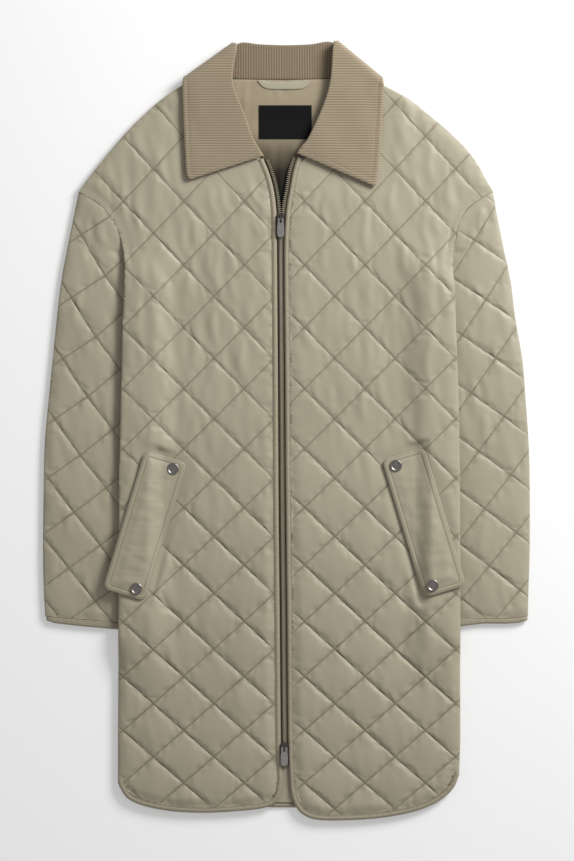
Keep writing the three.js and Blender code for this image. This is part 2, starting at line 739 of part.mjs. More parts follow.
// A cuff's binding is a flattened ring, open by the gap between the sleeve's walls.
const CUFF_HEIGHT = 7.2;
const CUFF_END = 4; // from the ring's folds to the gap
const CUFF_REACH = { from: -200, to: -270 }; // along the sleeve, past both sides of the ring
function cuffBinding(side) {
  const seam = CUFF.map((row) => [row[side + "X"], row[side + "Seam"] - SEAM]);
  const end = CUFF.map((row) => [row[side + "X"], row[side + "End"]]);
  const plan = prism([...seam, ...end.reverse()]);
  const grid = sleeveFloorGrid(side);
  const ring = wallBetween(plan, ground(grid, () => CUFF_HEIGHT), ground(grid, () => 0));
  const outerEnd = CUFF[0][side + "X"] - SIGN[side] * CUFF_END;
  const innerEnd = CUFF[CUFF.length - 1][side + "X"] + SIGN[side] * CUFF_END;
  const { from, to } = CUFF_REACH;
  const slit = prism([[outerEnd, from], [innerEnd, from], [innerEnd, to], [outerEnd, to]]);
  const gapTop = ground(grid, () => SLEEVE_WALL_UNDER + SLEEVE_GAP);
  const gap = wallBetween(slit, gapTop, ground(grid, () => SLEEVE_WALL_UNDER));
  return ring.subtract(gap);
}
for (const side of ["left", "right"]) {
  add("cuff_binding_" + side, cuffBinding(side), bindingCloth);
}

// Zip tapes run beside the bindings and open in a V above the top slider.
const tapeSection = [
  [-SEAM, 0], [-SEAM, TAPE_WALL], [-SEAM - TAPE_WIDTH, TAPE_WALL], [-SEAM - TAPE_WIDTH, 0],
];
const onTape = (x, y) => frontUnder(x, y) + TAPE_RISE;
for (const side of ["left", "right"]) {
  const line = frontEdge[side].slice(1).filter(([, y]) => y > TAPE_END_Y);
  add("zip_tape_" + side, ribbon(line, side, tapeSection, onTape), tapeCloth);
}

// The lining shows in the neck, inside the roll of the collar and down the V.
const LINING_SPREAD = 7;
function liningSide(side) {
  const roll = FALL.slice(1).map((row) => {
    return [row[side + "RollX"] + SIGN[side] * LINING_SPREAD, row[side + "RollY"]];
  });
  const open = frontEdge[side].filter(([, y]) => y > 262);
  return [...roll.reverse(), ...beside(open, -SIGN[side] * SEAM)];
}
const liningPlan = [...liningSide("left"), ...liningSide("right").reverse()];
const NECK_LINE_Y = 438.2;
const liningPrism = prism(liningPlan.map(([x, y]) => [x, Math.min(y, NECK_LINE_Y)]));
const raised = (height) => ground(bodyGrid, (x, y) => backTop(x, y) + height);
const liningTop = SEAM + LINING_WALL;
add("back_lining", wallBetween(liningPrism, raised(liningTop), raised(SEAM)), liningCloth);

// The label and the hanger loop lie on the lining.
const labelPlan = roundedPlan(...LABEL.size, 1, LABEL.centre, 0);
const labelLow = raised(liningTop + SEAM);
const labelTop = raised(liningTop + SEAM + LABEL.wall);
add("neck_label", wallBetween(prism(labelPlan), labelTop, labelLow), labelCloth);

function loopPlan() {
  const middle = (LOOP.left + LOOP.right) / 2;
  const half = (LOOP.right - LOOP.left) / 2;
  const outer = [];
  const inner = [];
  for (let k = 0; k <= 12; k++) {
    const share = -1 + k / 6;
    const sag = LOOP.drop * (1 - share ** 6);
    outer.push([middle + half * share, LOOP.seamY - sag]);
    inner.push([middle + half * share, LOOP.seamY - Math.max(sag - LOOP.tape, 0) + 0.01 * k]);
  }
  return [...outer, ...inner.reverse().slice(1, -1)];
}
const loopTop = raised(liningTop + SEAM + LOOP.wall);
add("hanger_loop", wallBetween(prism(loopPlan()), loopTop, labelLow), quiltCloth);

// The collar's sections run from its roll line to its outer edge.
const ACROSS = [0, 0.12, 0.35, 0.6, 0.85, 1];
const between = (a, b) => ACROSS.map((t) => a.map((value, k) => mix(value, b[k], t)));

function turned(turns, from, to, inward) {
  const [dx, dy] = [to[0] - from[0], to[1] - from[1]];
  const length = Math.hypot(dx, dy);
  const step = [(-dy / length) * inward, (dx / length) * inward];
  return turns.map(({ inset, z }) => {
    const moved = ([x, y]) => [x + step[0] * inset, y + step[1] * inset, z];
    return between(moved(from), moved(to));
  });
}

function fallSide(side) {
  return FALL.map((row) => {
    const roll = [row[side + "RollX"], row[side + "RollY"], row.rollZ];
    return between(roll, [row[side + "EdgeX"], row[side + "EdgeY"], row.edgeZ]);
  });
}
const FALL_REST_Z = FALL_WALL / 2;
const fallBack = FALL_BACK.map((row) => {
  return between([row.rollX, row.rollY, FALL_REST_Z], [row.edgeX, row.edgeY, FALL_REST_Z]);
});
const fallSections = [
  ...fallSide("left"),
  ...turned(FALL_TURN, FOLD.left.roll, FOLD.left.edge, 1),
  ...fallBack,
  ...turned(FALL_TURN, FOLD.right.roll, FOLD.right.edge, -1).reverse(),
  ...fallSide("right").reverse(),
];
const pressedFall = wallAbout(fallSections, FALL_WALL)
  .subtract(quiltGround("left", SEAM).intersect(frontPrism.left))
  .subtract(quiltGround("right", SEAM).intersect(frontPrism.right));
add("collar_fall", pressedFall, corduroy);

function standSide(side) {
  return STAND.map((row) => {
    const neck = [row[side + "NeckX"], row[side + "NeckY"], row.neckZ];
    return between(neck, [row[side + "RollX"], row[side + "RollY"], row.rollZ]);
  });
}
const STAND_REST_Z = 4.9;
const standBack = STAND_BACK.map((row) => {
  return between([row.neckX, row.neckY, STAND_REST_Z], [row.rollX, row.rollY, STAND_REST_Z]);
});
const standTurn = (side, inward) =>
  turned(STAND_ROUND, STAND_TURN[side].neck, STAND_TURN[side].roll, inward);
const standSections = [
  ...standSide("left"),
  ...standTurn("left", -1),
  ...standBack,
  ...standTurn("right", 1).reverse(),
  ...standSide("right").reverse(),
];
add("collar_stand", wallAbout(standSections, STAND_WALL), corduroy);

// Pocket flaps lie on the fronts and are made from their points, moved out.
const bodyPrism = prism([
  ...beside(sideSeam.left, FLAP_WALL),
  ...beside(sideSeam.right, -FLAP_WALL).reverse(),
]);
for (const side of ["left", "right"]) {
  const plan = prism(flapPlan[side]).intersect(bodyPrism);
  const flap = wallBetween(plan, quiltGround(side, SEAM + FLAP_WALL), quiltGround(side, SEAM));
  add("pocket_flap_" + side, flap, quiltCloth);
}

// Snap caps stand on the flaps, near their free edge.
const SNAP_SEAT = 2.2; // over a row of stitches, as the flap bridges the puffs there
function snapCap(side, end) {
  const profile = [[0, -6], [SNAP.radius, -6], [SNAP.radius, 0.5], [5, SNAP.height], [0, 2.6]];
  const lathe = new THREE.LatheGeometry(profile.map(([r, z]) => new THREE.Vector2(r, z)), 20);
  lathe.rotateX(Math.PI / 2);
  const offset = new THREE.Vector2(-SIGN[side] * SNAP.across, end * SNAP.along);
  offset.rotateAround(new THREE.Vector2(), flapTurn[side]);
  const [x, y] = [FLAP_CENTRE[side][0] + offset.x, FLAP_CENTRE[side][1] + offset.y];
  lathe.translate(x, y, frontUnder(x, y) + FRONT_WALL + FLAP_WALL + SNAP_SEAT);
  return solid(lathe).subtract(quiltGround(side, 2 * SEAM + FLAP_WALL));
}
for (const side of ["left", "right"]) {
  add("snap_" + side + "_upper", snapCap(side, 1), metal);
  add("snap_" + side + "_lower", snapCap(side, -1), metal);
}

// A zip slider has a bridge over its body, which holds the crossbar of the pull tab.
const sliderBase = (x, y) => onTape(x, y) + TAPE_WALL + SEAM;
function slider([x, y]) {
  const body = prismOf(roundedPlan(SLIDER.width, SLIDER.length, 2.5, [0, 0], 0), SLIDER.height);
  const bridge = new THREE.Shape(BRIDGE_OUTER.map(([a, b]) => new THREE.Vector2(a, b)));
  bridge.holes.push(new THREE.Path(BRIDGE_INNER.map(([a, b]) => new THREE.Vector2(a, b))));
  const arch = new THREE.ExtrudeGeometry(bridge, { depth: SLIDER.archWidth, bevelEnabled: false });
  arch.rotateX(Math.PI / 2);
  arch.rotateZ(Math.PI / 2);
  arch.translate(-SLIDER.archWidth / 2, 0, SLIDER.height);
  const made = body.add(solid(arch));
  return made.translate([x, y, sliderBase(x, y)]);
}
const BRIDGE_OUTER = [[-4.6, -0.8], [4.6, -0.8], [4.6, 2.4], [3.2, 3.9], [-3.2, 3.9], [-4.6, 2.4]];
const BRIDGE_INNER = [[-3.3, 0], [-3.3, 2], [-2.5, 2.7], [2.5, 2.7], [3.3, 2], [3.3, 0]];

function prismOf(outline, height) {
  const shape = new THREE.Shape(outline.map(([x, y]) => new THREE.Vector2(x, y)));
  return solid(new THREE.ExtrudeGeometry(shape, { depth: height, bevelEnabled: false }));
}

// A pull tab turns on its crossbar, whose middle is the tab's own origin.
function pullTab([x, y]) {
  const [half, neck, bar] = [TAB.width / 2, TAB.neck / 2, TAB.wall / 2];
  const outline = [
    [neck, bar], [-neck, bar], [-neck, -TAB.window - 1], [-half, -TAB.window - 4],
    [-half, 3 - TAB.length], [1.5 - half, -TAB.length], [half - 1.5, -TAB.length],
    [half, 3 - TAB.length], [half, -TAB.window - 4], [neck, -TAB.window - 1],
  ];
  const window = SLIDER.archWidth / 2 + 0.4;
  const shape = new THREE.Shape(outline.map(([a, b]) => new THREE.Vector2(a, b)));
  const hole = [[window, -bar], [window, -TAB.window], [-window, -TAB.window], [-window, -bar]];
  shape.holes.push(new THREE.Path(hole.map(([a, b]) => new THREE.Vector2(a, b))));
  const plate = new THREE.ExtrudeGeometry(shape, { depth: TAB.wall, bevelEnabled: false });
  plate.translate(0, 0, -bar);
  plate.rotateX(THREE.MathUtils.degToRad(TAB.tilt));
  plate.translate(x, y, sliderBase(x, y) + SLIDER.height + TAB.barRise);
  return solid(plate);
}
for (const [name, place] of Object.entries(SLIDERS)) {
  add("slider_" + name, slider(place), metal);
  add("pull_tab_" + name, pullTab(place), metal);
}

export default jacket;
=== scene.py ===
"""A quilted jacket laid flat on a pale surface, seen from straight above.

Sizes are in millimetres and heights are over the surface, until build turns them into metres.
Left and right are as seen from above. The pattern lines repeat those of the part's own solids.
"""

import math

import bmesh
import bpy
import numpy as np
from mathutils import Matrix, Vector


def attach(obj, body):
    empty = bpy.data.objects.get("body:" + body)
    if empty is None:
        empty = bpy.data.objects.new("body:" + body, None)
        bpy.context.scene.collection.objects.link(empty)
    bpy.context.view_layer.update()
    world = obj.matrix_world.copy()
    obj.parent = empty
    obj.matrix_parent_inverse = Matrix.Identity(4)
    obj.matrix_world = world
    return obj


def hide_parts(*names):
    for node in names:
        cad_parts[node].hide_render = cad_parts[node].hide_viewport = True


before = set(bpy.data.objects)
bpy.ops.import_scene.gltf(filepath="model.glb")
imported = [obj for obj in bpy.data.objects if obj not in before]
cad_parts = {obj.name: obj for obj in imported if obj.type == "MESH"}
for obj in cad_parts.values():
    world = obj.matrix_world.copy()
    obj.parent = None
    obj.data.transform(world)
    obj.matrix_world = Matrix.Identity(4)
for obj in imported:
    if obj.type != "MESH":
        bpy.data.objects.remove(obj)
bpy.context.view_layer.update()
BODY = "jacket"
SIGN = {"left": -1, "right": 1}

# Layers
BACK_WALL = 5.0
BACK_WALL_AT_NECK = 4.0
LAYER_GAP = 0.8
FRONT_WALL = 3.0
FRONT_RIM = 2.2
PRESSED = 0.4
SLEEVE_UNDER = 3.4
SLEEVE_GAP = 0.5
SLEEVE_WALL = 3.0
SLEEVE_RIM = 2.0
SIDE_LIFT = 8.2
COLLAR_LIFT = 3.3
BINDING_WIDTH = 6.5

# Quilting
FINE = 22  # facets along the side of a diamond
CROWDING = 0.5  # how much closer they lie by its rows of stitches
PADDED_SHARP = 62  # degrees between faces from which an edge of padded cloth stays sharp
BODY_PITCH = 75.6
BODY_NODE_X = 22.2
SLEEVE_PITCH = 72.5

# Pattern lines, with one row for a stage and columns for the left and right twin
SHOULDER = np.array([
    (-88, 446.5, 84, 447), (-106, 443, 95, 443), (-129, 433, 120, 432.5), (-158.5, 413, 156, 413),
    (-181, 393, 181, 393), (-200.5, 373, 204.5, 373), (-218, 353, 224.5, 353),
    (-234.5, 333, 239.5, 333), (-250, 313, 250.5, 313), (-260, 299.5, 258.5, 300),
])
ARMHOLE = np.array([
    (-260, 299.5, 258.5, 300), (-245.5, 290.5, 244.5, 291), (-233, 282, 232, 283),
    (-223, 272, 224, 274.5), (-214.5, 258.5, 217, 261), (-208, 243.5, 212, 242),
    (-204, 226, 209, 223.5), (-201.5, 207, 207, 207),
])
SIDE = np.array([  # y, left x, right x
    (207, -201.5, 207), (182, -202.5, 210), (138, -204.5, 211.5), (38, -207, 215),
    (-62, -209, 216.5), (-162, -209.5, 217), (-387, -211, 217.5), (-445, -211, 215.5),
])
FRONT_EDGE = np.array([
    (-29.5, 341, 14, 343.5), (-22, 323, 8, 325), (-16.5, 303, 4, 303), (-13.4, 281, 0, 280),
    (-12.4, 260, -2, 258), (-12.1, 213, -3, 213), (-11, 60, -1.8, 60), (-10.2, -87, -0.9, -87),
    (-8.7, -240, 0.7, -240), (-7.3, -389, 2.1, -389), (-5.6, -420, 3.4, -424),
    (-5.2, -440, 5.6, -453), (-8.5, -457, 12.5, -471.5), (-16, -467, 24.5, -482.5),
    (-31, -472.5, 43, -487.2), (-63, -476, 79, -487.2), (-102, -478, 117, -484.5),
    (-139, -476.5, 154, -478), (-168, -472, 179, -469.5), (-188, -466, 197, -459),
    (-201, -458, 209.5, -446), (-209, -445, 214.5, -434),
])
HEM_START = 11  # first row of FRONT_EDGE on the turned corner
FRONT_NECK = np.array([
    (-88, 446.5, 84, 447), (-90, 420, 86, 420), (-82, 384, 74, 384), (-64, 355, 54, 355.5),
    (-48, 346, 36, 347), (-29.5, 341, 14, 343.5),
])
BACK_HEM = np.array([
    (-210, -420), (-205, -434), (-196, -445), (-171, -459), (-133, -467), (-70, -471), (-3, -472),
    (67, -472), (142, -465.5), (180, -455.5), (201, -441), (211, -430), (215.5, -418),
])
SLEEVE_OUTER = np.array([  # y, left x, right x
    (299, -260, 258.5), (273, -265.5, 263), (253, -269.5, 267), (226, -275, 272.5),
    (188, -282, 280.5), (138, -288, 287), (88, -293, 295.5), (38, -298, 299.5),
    (-12, -302.5, 303), (-62, -304, 304.5), (-149, -305, 304.5), (-200, -304, 303),
    (-250, -301, 302),
])
SLEEVE_INNER = np.array([
    (206.5, -201.5, 207), (185, -191, 199), (150, -181, 189), (100, -177, 185),
    (-100, -177, 186), (-255, -179, 188),
])
CUFF = {  # x, seam y, end y, from the outer fold inwards
    "left": np.array([
        (-301, -232.5, -237.5), (-291, -233.3, -241), (-258, -235.7, -244.8),
        (-225, -238.4, -247.7), (-211, -240.3, -249), (-178.5, -242, -251),
    ]),
    "right": np.array([
        (302, -231.5, -237.5), (290, -233.5, -240.7), (274.5, -234.8, -241.7),
        (247, -235.2, -241.5), (219, -235.7, -244.8), (187.5, -237, -246.5),
    ]),
}


# Small helpers
def clamp(t):
    return np.clip(t, 0.0, 1.0)


def smooth(t):
    t = clamp(t)
    return t * t * (3 - 2 * t)


def bulge(t):
    return np.sqrt(1 - (1 - clamp(t)) ** 2)
    return np.sqrt(1 - (1 - clamp(t)) ** 2)


def hump(distance, width):
    """One where there is no distance, and next to none at twice the width."""
    return np.exp(-((distance / width) ** 2))


def run_of(line):
    """The length along a line at each of its points."""
    return np.concatenate([[0], np.cumsum(np.linalg.norm(np.diff(line, axis=0), axis=1))])


def curved(points, per_span=6):
    """A smooth line through points: uniform Catmull-Rom."""
    p = np.asarray(points, float)
    p = np.vstack([p[0], p, p[-1]])
    out = []
    for k in range(1, len(p) - 2):
        for t in np.arange(per_span) / per_span:
            a, b, c, d = p[k - 1 : k + 3]
            out.append(0.5 * (2 * b + (c - a) * t + (2 * a - 5 * b + 4 * c - d) * t**2
                              + (3 * b - a - 3 * c + d) * t**3))
    out.append(p[-2])
    return np.array(out)


def beside(line, distance):
    """The line moved to its own left by a distance."""
    along = np.gradient(line[:, :2], axis=0)
    along /= np.linalg.norm(along, axis=1)[:, None]
    moved = line.copy()
    moved[:, 0] -= along[:, 1] * distance
    moved[:, 1] += along[:, 0] * distance
    return moved


def distance_to(line, x, y):
    x, y = np.broadcast_arrays(np.asarray(x, float), np.asarray(y, float))
    nearest = np.full(x.shape, 1e9)
    for a, b in zip(line[:-1, :2], line[1:, :2]):
        d = b - a
        t = clamp(((x - a[0]) * d[0] + (y - a[1]) * d[1]) / max(d @ d, 1e-9))
        nearest = np.minimum(nearest, np.hypot(x - a[0] - t * d[0], y - a[1] - t * d[1]))
    return nearest


def pair(rows, side):
    return rows[:, :2] if side == "left" else rows[:, 2:]


def column_of(side):
    """The column of a side's x in the rows that begin with y."""
    return 1 if side == "left" else 2


def side_x(rows, y, side):
    order = np.argsort(rows[:, 0])
    return np.interp(y, rows[order, 0], rows[order, column_of(side)])


def side_line(rows, side):
    return rows[:, [column_of(side), 0]]


def noise(x, y, size, seed):
    """Soft bumps from -1 to 1, of about a given size, made from a few sine waves."""
    local = np.random.default_rng(seed)
    total = np.zeros(np.broadcast(x, y).shape)
    for _ in range(9):
        angle = local.uniform(0, math.pi)
        length = size * local.uniform(0.7, 1.6)
        phase = local.uniform(0, 2 * math.pi)
        wave = (x * math.cos(angle) + y * math.sin(angle)) * 2 * math.pi / length
        total = total + np.sin(wave + phase + 1.3 * np.sin(wave * 0.37 + phase * 2))
    return total / 9 * 1.9


SIDES = ("left", "right")
shoulder = {s: curved(pair(SHOULDER, s)) for s in SIDES}
armhole = {s: curved(pair(ARMHOLE, s)) for s in SIDES}
side_seam = {s: side_line(SIDE, s) for s in SIDES}
front_edge = {s: curved(pair(FRONT_EDGE, s)) for s in SIDES}
front_neck = {s: curved(pair(FRONT_NECK, s)) for s in SIDES}
panel_edge = {s: beside(front_edge[s], SIGN[s] * (BINDING_WIDTH + 0.05)) for s in SIDES}
back_hem = curved(BACK_HEM)
sleeve_outer = {s: curved(side_line(SLEEVE_OUTER, s)) for s in SIDES}
body_side = {s: np.vstack([shoulder[s], armhole[s][1:], side_seam[s][1:]]) for s in SIDES}


# Heights of the body: it rests on the surface, on the sleeves and on the turned collar
def inset_of(x, y):
    return np.minimum(x - side_x(SIDE, y, "left"), side_x(SIDE, y, "right") - x)


def body_lift(x, y):
    side = smooth((245 - y) / 55) * smooth((y + 300) / 44) * smooth((57 - inset_of(x, y)) / 23)
    collar = smooth((y - 384) / 32) * smooth((170 - np.abs(x)) / 23)
    return SIDE_LIFT * side + COLLAR_LIFT * collar


def back_top(x, y):
    share = smooth((y - 380) / 30)
    return body_lift(x, y) + BACK_WALL + (BACK_WALL_AT_NECK - BACK_WALL) * share


def front_under(x, y):
    return back_top(x, y) + LAYER_GAP


def puff(across, along):
    rising = np.abs(np.sin(np.pi * (across + along)))
    falling = np.abs(np.sin(np.pi * (across - along)))
    return np.sqrt(rising * falling)


FLAP = {"width": 55, "length": 180, "slant": math.radians(16.9), "corner": 9}
FLAP_CENTRE = {"left": (-176.5, -118.5), "right": (171.5, -114.5)}


def in_flap(side, x, y):
    """A flap's own coordinates, across and along, of a point in plan."""
    turn = -SIGN[side] * FLAP["slant"]
    dx, dy = x - FLAP_CENTRE[side][0], y - FLAP_CENTRE[side][1]
    return dx * math.cos(turn) - dy * math.sin(turn), dx * math.sin(turn) + dy * math.cos(turn)


def coverage(side, x, y):
    u, v = in_flap(side, x, y)
    outside = np.maximum(np.abs(u) - FLAP["width"] / 2, np.abs(v) - FLAP["length"] / 2)
    flap = smooth(1 - outside / 12)
    collar = smooth((y - 288) / 30) * smooth((145 - np.abs(x + 4)) / 15)
    return 1 + (PRESSED - 1) * np.maximum(flap, collar)


def front_parts(side, x, y):
    """The share of the puff that a seam leaves, and how far the rim has risen."""
    sewn = np.minimum.reduce([
        smooth(distance_to(panel_edge[side], x, y) / 12),
        smooth(distance_to(front_neck[side], x, y) / 12),
        smooth((distance_to(armhole[side], x, y) - 7) / 16),
    ])
    rolled = np.minimum(
        bulge(distance_to(side_seam[side], x, y) / 20),
        bulge(distance_to(shoulder[side], x, y) / 18),
    )
    return sewn, rolled


CREASES = np.array([  # start x, y, end x, y, half width, height
    # Left front
    (-129.5, 271, -129.5, 217, 4, 0.8), (-116, 267, -114, 228, 4, 0.7), (-98, 309, -92, 269, 4.5, 0.8),
    (-83, 309, -76, 271, 4, 0.7), (-100.5, 231, -94, 186, 3.5, 0.7), (-87, 238, -87, 170, 4.5, 0.9),
    (-125, 202, -127, 144, 5, 0.9), (-152, 188, -147, 157, 4, 0.6), (-74, 193, -60, 157, 4, 0.5),
    (-92, 159, -94, 112, 4, 0.8), (-85, 150, -83, 106, 3.5, -0.7), (-118, 108, -116, 77, 4, 0.6),
    (-150, 101, -154, 39, 4, 0.8), (-161, 144, -161, 117, 5, 0.6), (-56, 119, -58, 66, 4, 0.8),
    (-94, 77, -103, 34, 4, 0.7), (-134, 46, -152, 12, 5, 0.6), (-114, 21, -123, -21, 5, 0.6),
    (-89, 1, -94, -26, 4, 0.5), (-169, 5, -171, -21, 2.5, 0.8), (-152, -6, -154, -28, 2.5, 0.8),
    (-61, 332, -24, 268, 3.5, 0.9), (-51, 334, -21, 290, 3, -0.9), (-40, 338, -24, 306, 2.5, 0.7),
    (-43, 261, -34, 243, 3, 0.6), (-38, 183, -43, 165, 3, 0.5), (-151, 418, -146, 396, 3, -0.9),
    (-138, 428, -136, 404, 3, 0.8), (-237, 316, -234, 286, 3, 0.8), (-225, 318, -212, 262, 3, -1.0),
    (-207, 312, -205, 268, 3.5, 0.8), (-247, 312, -214, 280, 3, 0.6),
    # Right front
    (44, 305, 39, 268, 2.5, -0.9), (57, 322, 13, 273, 3, -0.8), (46, 322, 14, 288, 3, 0.8),
    (75, 303, 77, 275, 3.5, 0.6), (97, 281, 99, 218, 3.5, 0.9), (105, 283, 107, 238, 3, -0.7),
    (131.5, 308, 129, 268, 4, 0.7), (139, 320, 136, 280, 3.5, -0.6), (144, 241, 149, 191, 4.5, 0.9),
    (168.5, 280, 176, 228, 3.5, 0.9), (178, 367, 181, 307, 4, 0.8), (159, 322, 166, 302, 3, 0.6),
    (134, 362, 134, 338, 3.5, 0.5), (201, 317, 203, 278, 3.5, 0.8), (213, 308, 215, 280, 3, -0.8),
    (183, 273, 191, 243, 4, 0.7), (104, 192, 104, 154, 4, 0.9), (90, 189, 92, 159, 3, -0.6),
    (82, 229, 85, 196, 4, 0.8), (45, 229, 47, 198, 4, 0.6), (30, 199, 25, 164, 3.5, 0.6),
    (122, 142, 124, 97, 4, 0.8), (144, 160, 146, 117, 4, 0.7), (114, 108, 114, 75, 4, 0.7),
    (181, 130, 174, 60, 4.5, 0.9), (183, 192, 181, 142, 4, 0.6), (75, 143, 77, 113, 4, 0.6),
    (24, 131, 21, 107, 3.5, 0.6), (57, 68, 57, 36, 4.5, 0.6), (93, 51, 97, 10, 4, 0.6),
    # Sleeves
    (-241, 269, -230, 231, 4, 0.9), (-252, 284, -256, 251, 4, -0.8), (-228, 262, -221, 234, 3, -0.8),
    (230, 278, 225, 253, 3, -0.8), (245, 288, 240, 248, 3.5, 0.8), (236, 184, 244, 150, 5, 0.7),
    (-262, 170, -268, 128, 6, 0.7), (-248, 60, -254, 14, 5, 0.7), (-236, -60, -232, -110, 6, -0.7),
    (-276, -90, -270, -140, 6, 0.7), (-252, -170, -247, -214, 5, 0.7), (258, 120, 264, 70, 6, 0.7),
    (244, 22, 252, -24, 5, 0.7), (276, -40, 272, -92, 6, -0.7), (248, -110, 243, -160, 6, 0.7),
    (268, -172, 272, -216, 5, 0.7),
    # Lower fronts
    (-148, -262, -138, -304, 5, 0.7), (-96, -214, -102, -262, 6, 0.7), (-62, -318, -58, -352, 5, 0.6),
    (-176, -356, -168, -392, 5, 0.6), (64, -248, 70, -296, 6, 0.7), (122, -300, 118, -348, 5, 0.7),
    (168, -276, 174, -318, 5, 0.7), (92, -396, 88, -428, 5, 0.6),
])
CREASE_STRENGTH = 1.6


def creased(x, y):
    """The listed creases, each one highest in its middle."""
    total = np.zeros(np.shape(x))
    for x0, y0, x1, y1, width, height in CREASES:
        length = math.hypot(x1 - x0, y1 - y0)
        t = ((x - x0) * (x1 - x0) + (y - y0) * (y1 - y0)) / length**2
        off = ((x - x0) * (y1 - y0) - (y - y0) * (x1 - x0)) / length
        bow = off + 0.03 * length * np.sin(t * 2.5 * math.pi)
        total = total + height * hump(bow, width) * np.sin(math.pi * clamp(t)) ** 0.8
    return total


def padding(x, y, across, along, lower):
    """Height over the rows of stitches: a narrow groove beside them, a low pillow and soft folds."""
    share = puff(across, along)
    beside_row = (0.5 + 0.25 * lower) * (1 - (1 - clamp(share / 0.25)) ** 2)
    pillow = (0.3 + 1.8 * lower) * share**1.2
    strong = clamp(0.65 + 0.8 * noise(x, y, 150, 6)) * (1 - 0.55 * lower)
    folds = 0.9 * strong * noise(x + 0.12 * y, 0.17 * y, 19, 5)
    creases = 0.7 * noise(x - 0.4 * y, 0.4 * x + 0.5 * y, 15, 8) * (1 - share) * (0.3 + 0.7 * lower)
    sag = 0.3 * noise(x, y, 60, 9)
    loose = (folds + creases + sag) * smooth(share * 2)
    return beside_row + pillow + loose + CREASE_STRENGTH * creased(x, y) * smooth(share * 3)


def puckers(side, x, y):
    """Small bumps beside the bound edge, which run across it."""
    edge = distance_to(panel_edge[side], x, y)
    hem = smooth((-430 - y) / 24)
    pulled = noise(x * hem, y * (1 - hem), 9, 51) + 0.6 * noise(x * hem, y * (1 - hem), 21, 52)
    return 0.55 * pulled * smooth(edge / 3) * hump(edge, 11)


def front_top(side, x, y, across, along):
    sewn, rolled = front_parts(side, x, y)
    cover = coverage(side, x, y)
    filled = padding(x, y, across, along, smooth((60 - y) / 260)) * sewn * cover
    filled = filled + puckers(side, x, y)
    filled = filled - 0.6 * hump(distance_to(armhole[side], x, y) - ARMHOLE_STITCHES, 2.4)
    eased = SIDE_LIFT * smooth((262 - y) / 90) * smooth((y + 340) / 90)
    eased = eased * smooth((74 - inset_of(x, y)) / 40)
    eased = np.maximum(eased - body_lift(x, y), 0) * smooth((cover - 0.7) / 0.3)
    return front_under(x, y) + FRONT_RIM + (FRONT_WALL - FRONT_RIM + filled + eased) * rolled


# Meshes
def turned_out(points, faces):
    """The faces in the order that makes them look outward."""
    fans = np.array([(f[0], f[k], f[k + 1]) for f in faces for k in range(1, len(f) - 1)])
    a, b, c = (points[fans[:, k]] for k in range(3))
    return faces if np.sum(a * np.cross(b, c)) > 0 else [f[::-1] for f in faces]


def build(name, points, faces, material, slot, *nodes, body=BODY, sharp=180, groove_shade=None):
    """A finished piece from points in millimetres. It stands for the nodes that it names.

    The last argument gives painted shade for the grooves: one where a row of stitches draws the cloth
    down and none elsewhere, a value for each point.
    """
    points = np.asarray(points, float)
    faces = turned_out(points, faces)
    mesh = bpy.data.meshes.new(name)
    mesh.from_pydata((points * 0.001).tolist(), [], faces)
    if groove_shade is not None:
        shade_layer = mesh.attributes.new("groove_shade", "FLOAT", "POINT")
        shade_layer.data.foreach_set("value", np.asarray(groove_shade, np.float32))
    mesh.validate()
    mesh.shade_smooth()
    if sharp < 180:
        mesh.set_sharp_from_angle(angle=math.radians(sharp))
    mesh.materials.append(material)
    made = bpy.data.objects.new(name, mesh)
    bpy.context.collection.objects.link(made)
    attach(made, body)
    if nodes:
        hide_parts(*nodes)
    return made


def joined(*parts):
    """Several pairs of points and faces as one pair."""
    points, faces, start = [], [], 0
    for some, its in parts:
        points.append(some)
        faces.extend(tuple(start + k for k in f) for f in its)
        start += len(some)
    return np.vstack(points), faces


def quads(rows, columns):
    corners = ((j * columns + i) for j in range(rows - 1) for i in range(columns - 1))
    return [(a, a + 1, a + columns + 1, a + columns) for a in corners]


def rim_of(faces):
    edges = {(a, b) for f in faces for a, b in zip(f, f[1:] + f[:1])}
    return sorted((a, b) for a, b in edges if (b, a) not in edges)


def closed(top, bottom, faces):
    """A wall between two sheets that have the same faces."""
    n = len(top)
    below = [tuple(n + k for k in f[::-1]) for f in faces]
    walls = [(b, a, n + a, n + b) for a, b in rim_of(faces)]
    return np.vstack([top, bottom]), faces + below + walls


def wall(x, y, top, bottom, faces=None):
    """A wall over places in plan, from its two heights. A grid of places has its own faces."""
    sheets = [np.stack([x, y, z], axis=-1).reshape(-1, 3) for z in (top, bottom)]
    return closed(*sheets, faces or quads(*x.shape))


def swept(line, side, section, base, ripple=0.0, seed=1):
    """A strip along a line: its closed section gives the distance beside the line and the height."""
    run = run_of(line)
    wave = noise(run, 0 * run, 7.0, seed) + 0.5 * noise(run, 0 * run, 3.6, seed + 1)
    rings = []
    for across, height in section:
        moved = beside(line, SIGN[side] * across)
        x, y = moved[:, 0], moved[:, 1]
        z = base(x, y) + height * (1 + ripple * wave * min(height / 3, 1))
        rings.append(np.stack([x, y, z], axis=-1))
    points = np.stack(rings, axis=1)
    count = len(section)
    faces = []
    for k in range(len(line) - 1):
        for s in range(count):
            a, b = k * count + s, k * count + (s + 1) % count
            faces.append((a, b, b + count, a + count))
    last = (len(line) - 1) * count
    ends = [tuple(range(count - 1, -1, -1)), tuple(range(last, last + count))]
    return points.reshape(-1, 3), faces + ends


def closed_curve(points, per_span=4):
    """A smooth closed line through points."""
    p = np.asarray(points, float)
    wrapped = np.vstack([p[-1], p, p[0], p[1]])
    return curved(wrapped, per_span)[per_span : -per_span - 1]


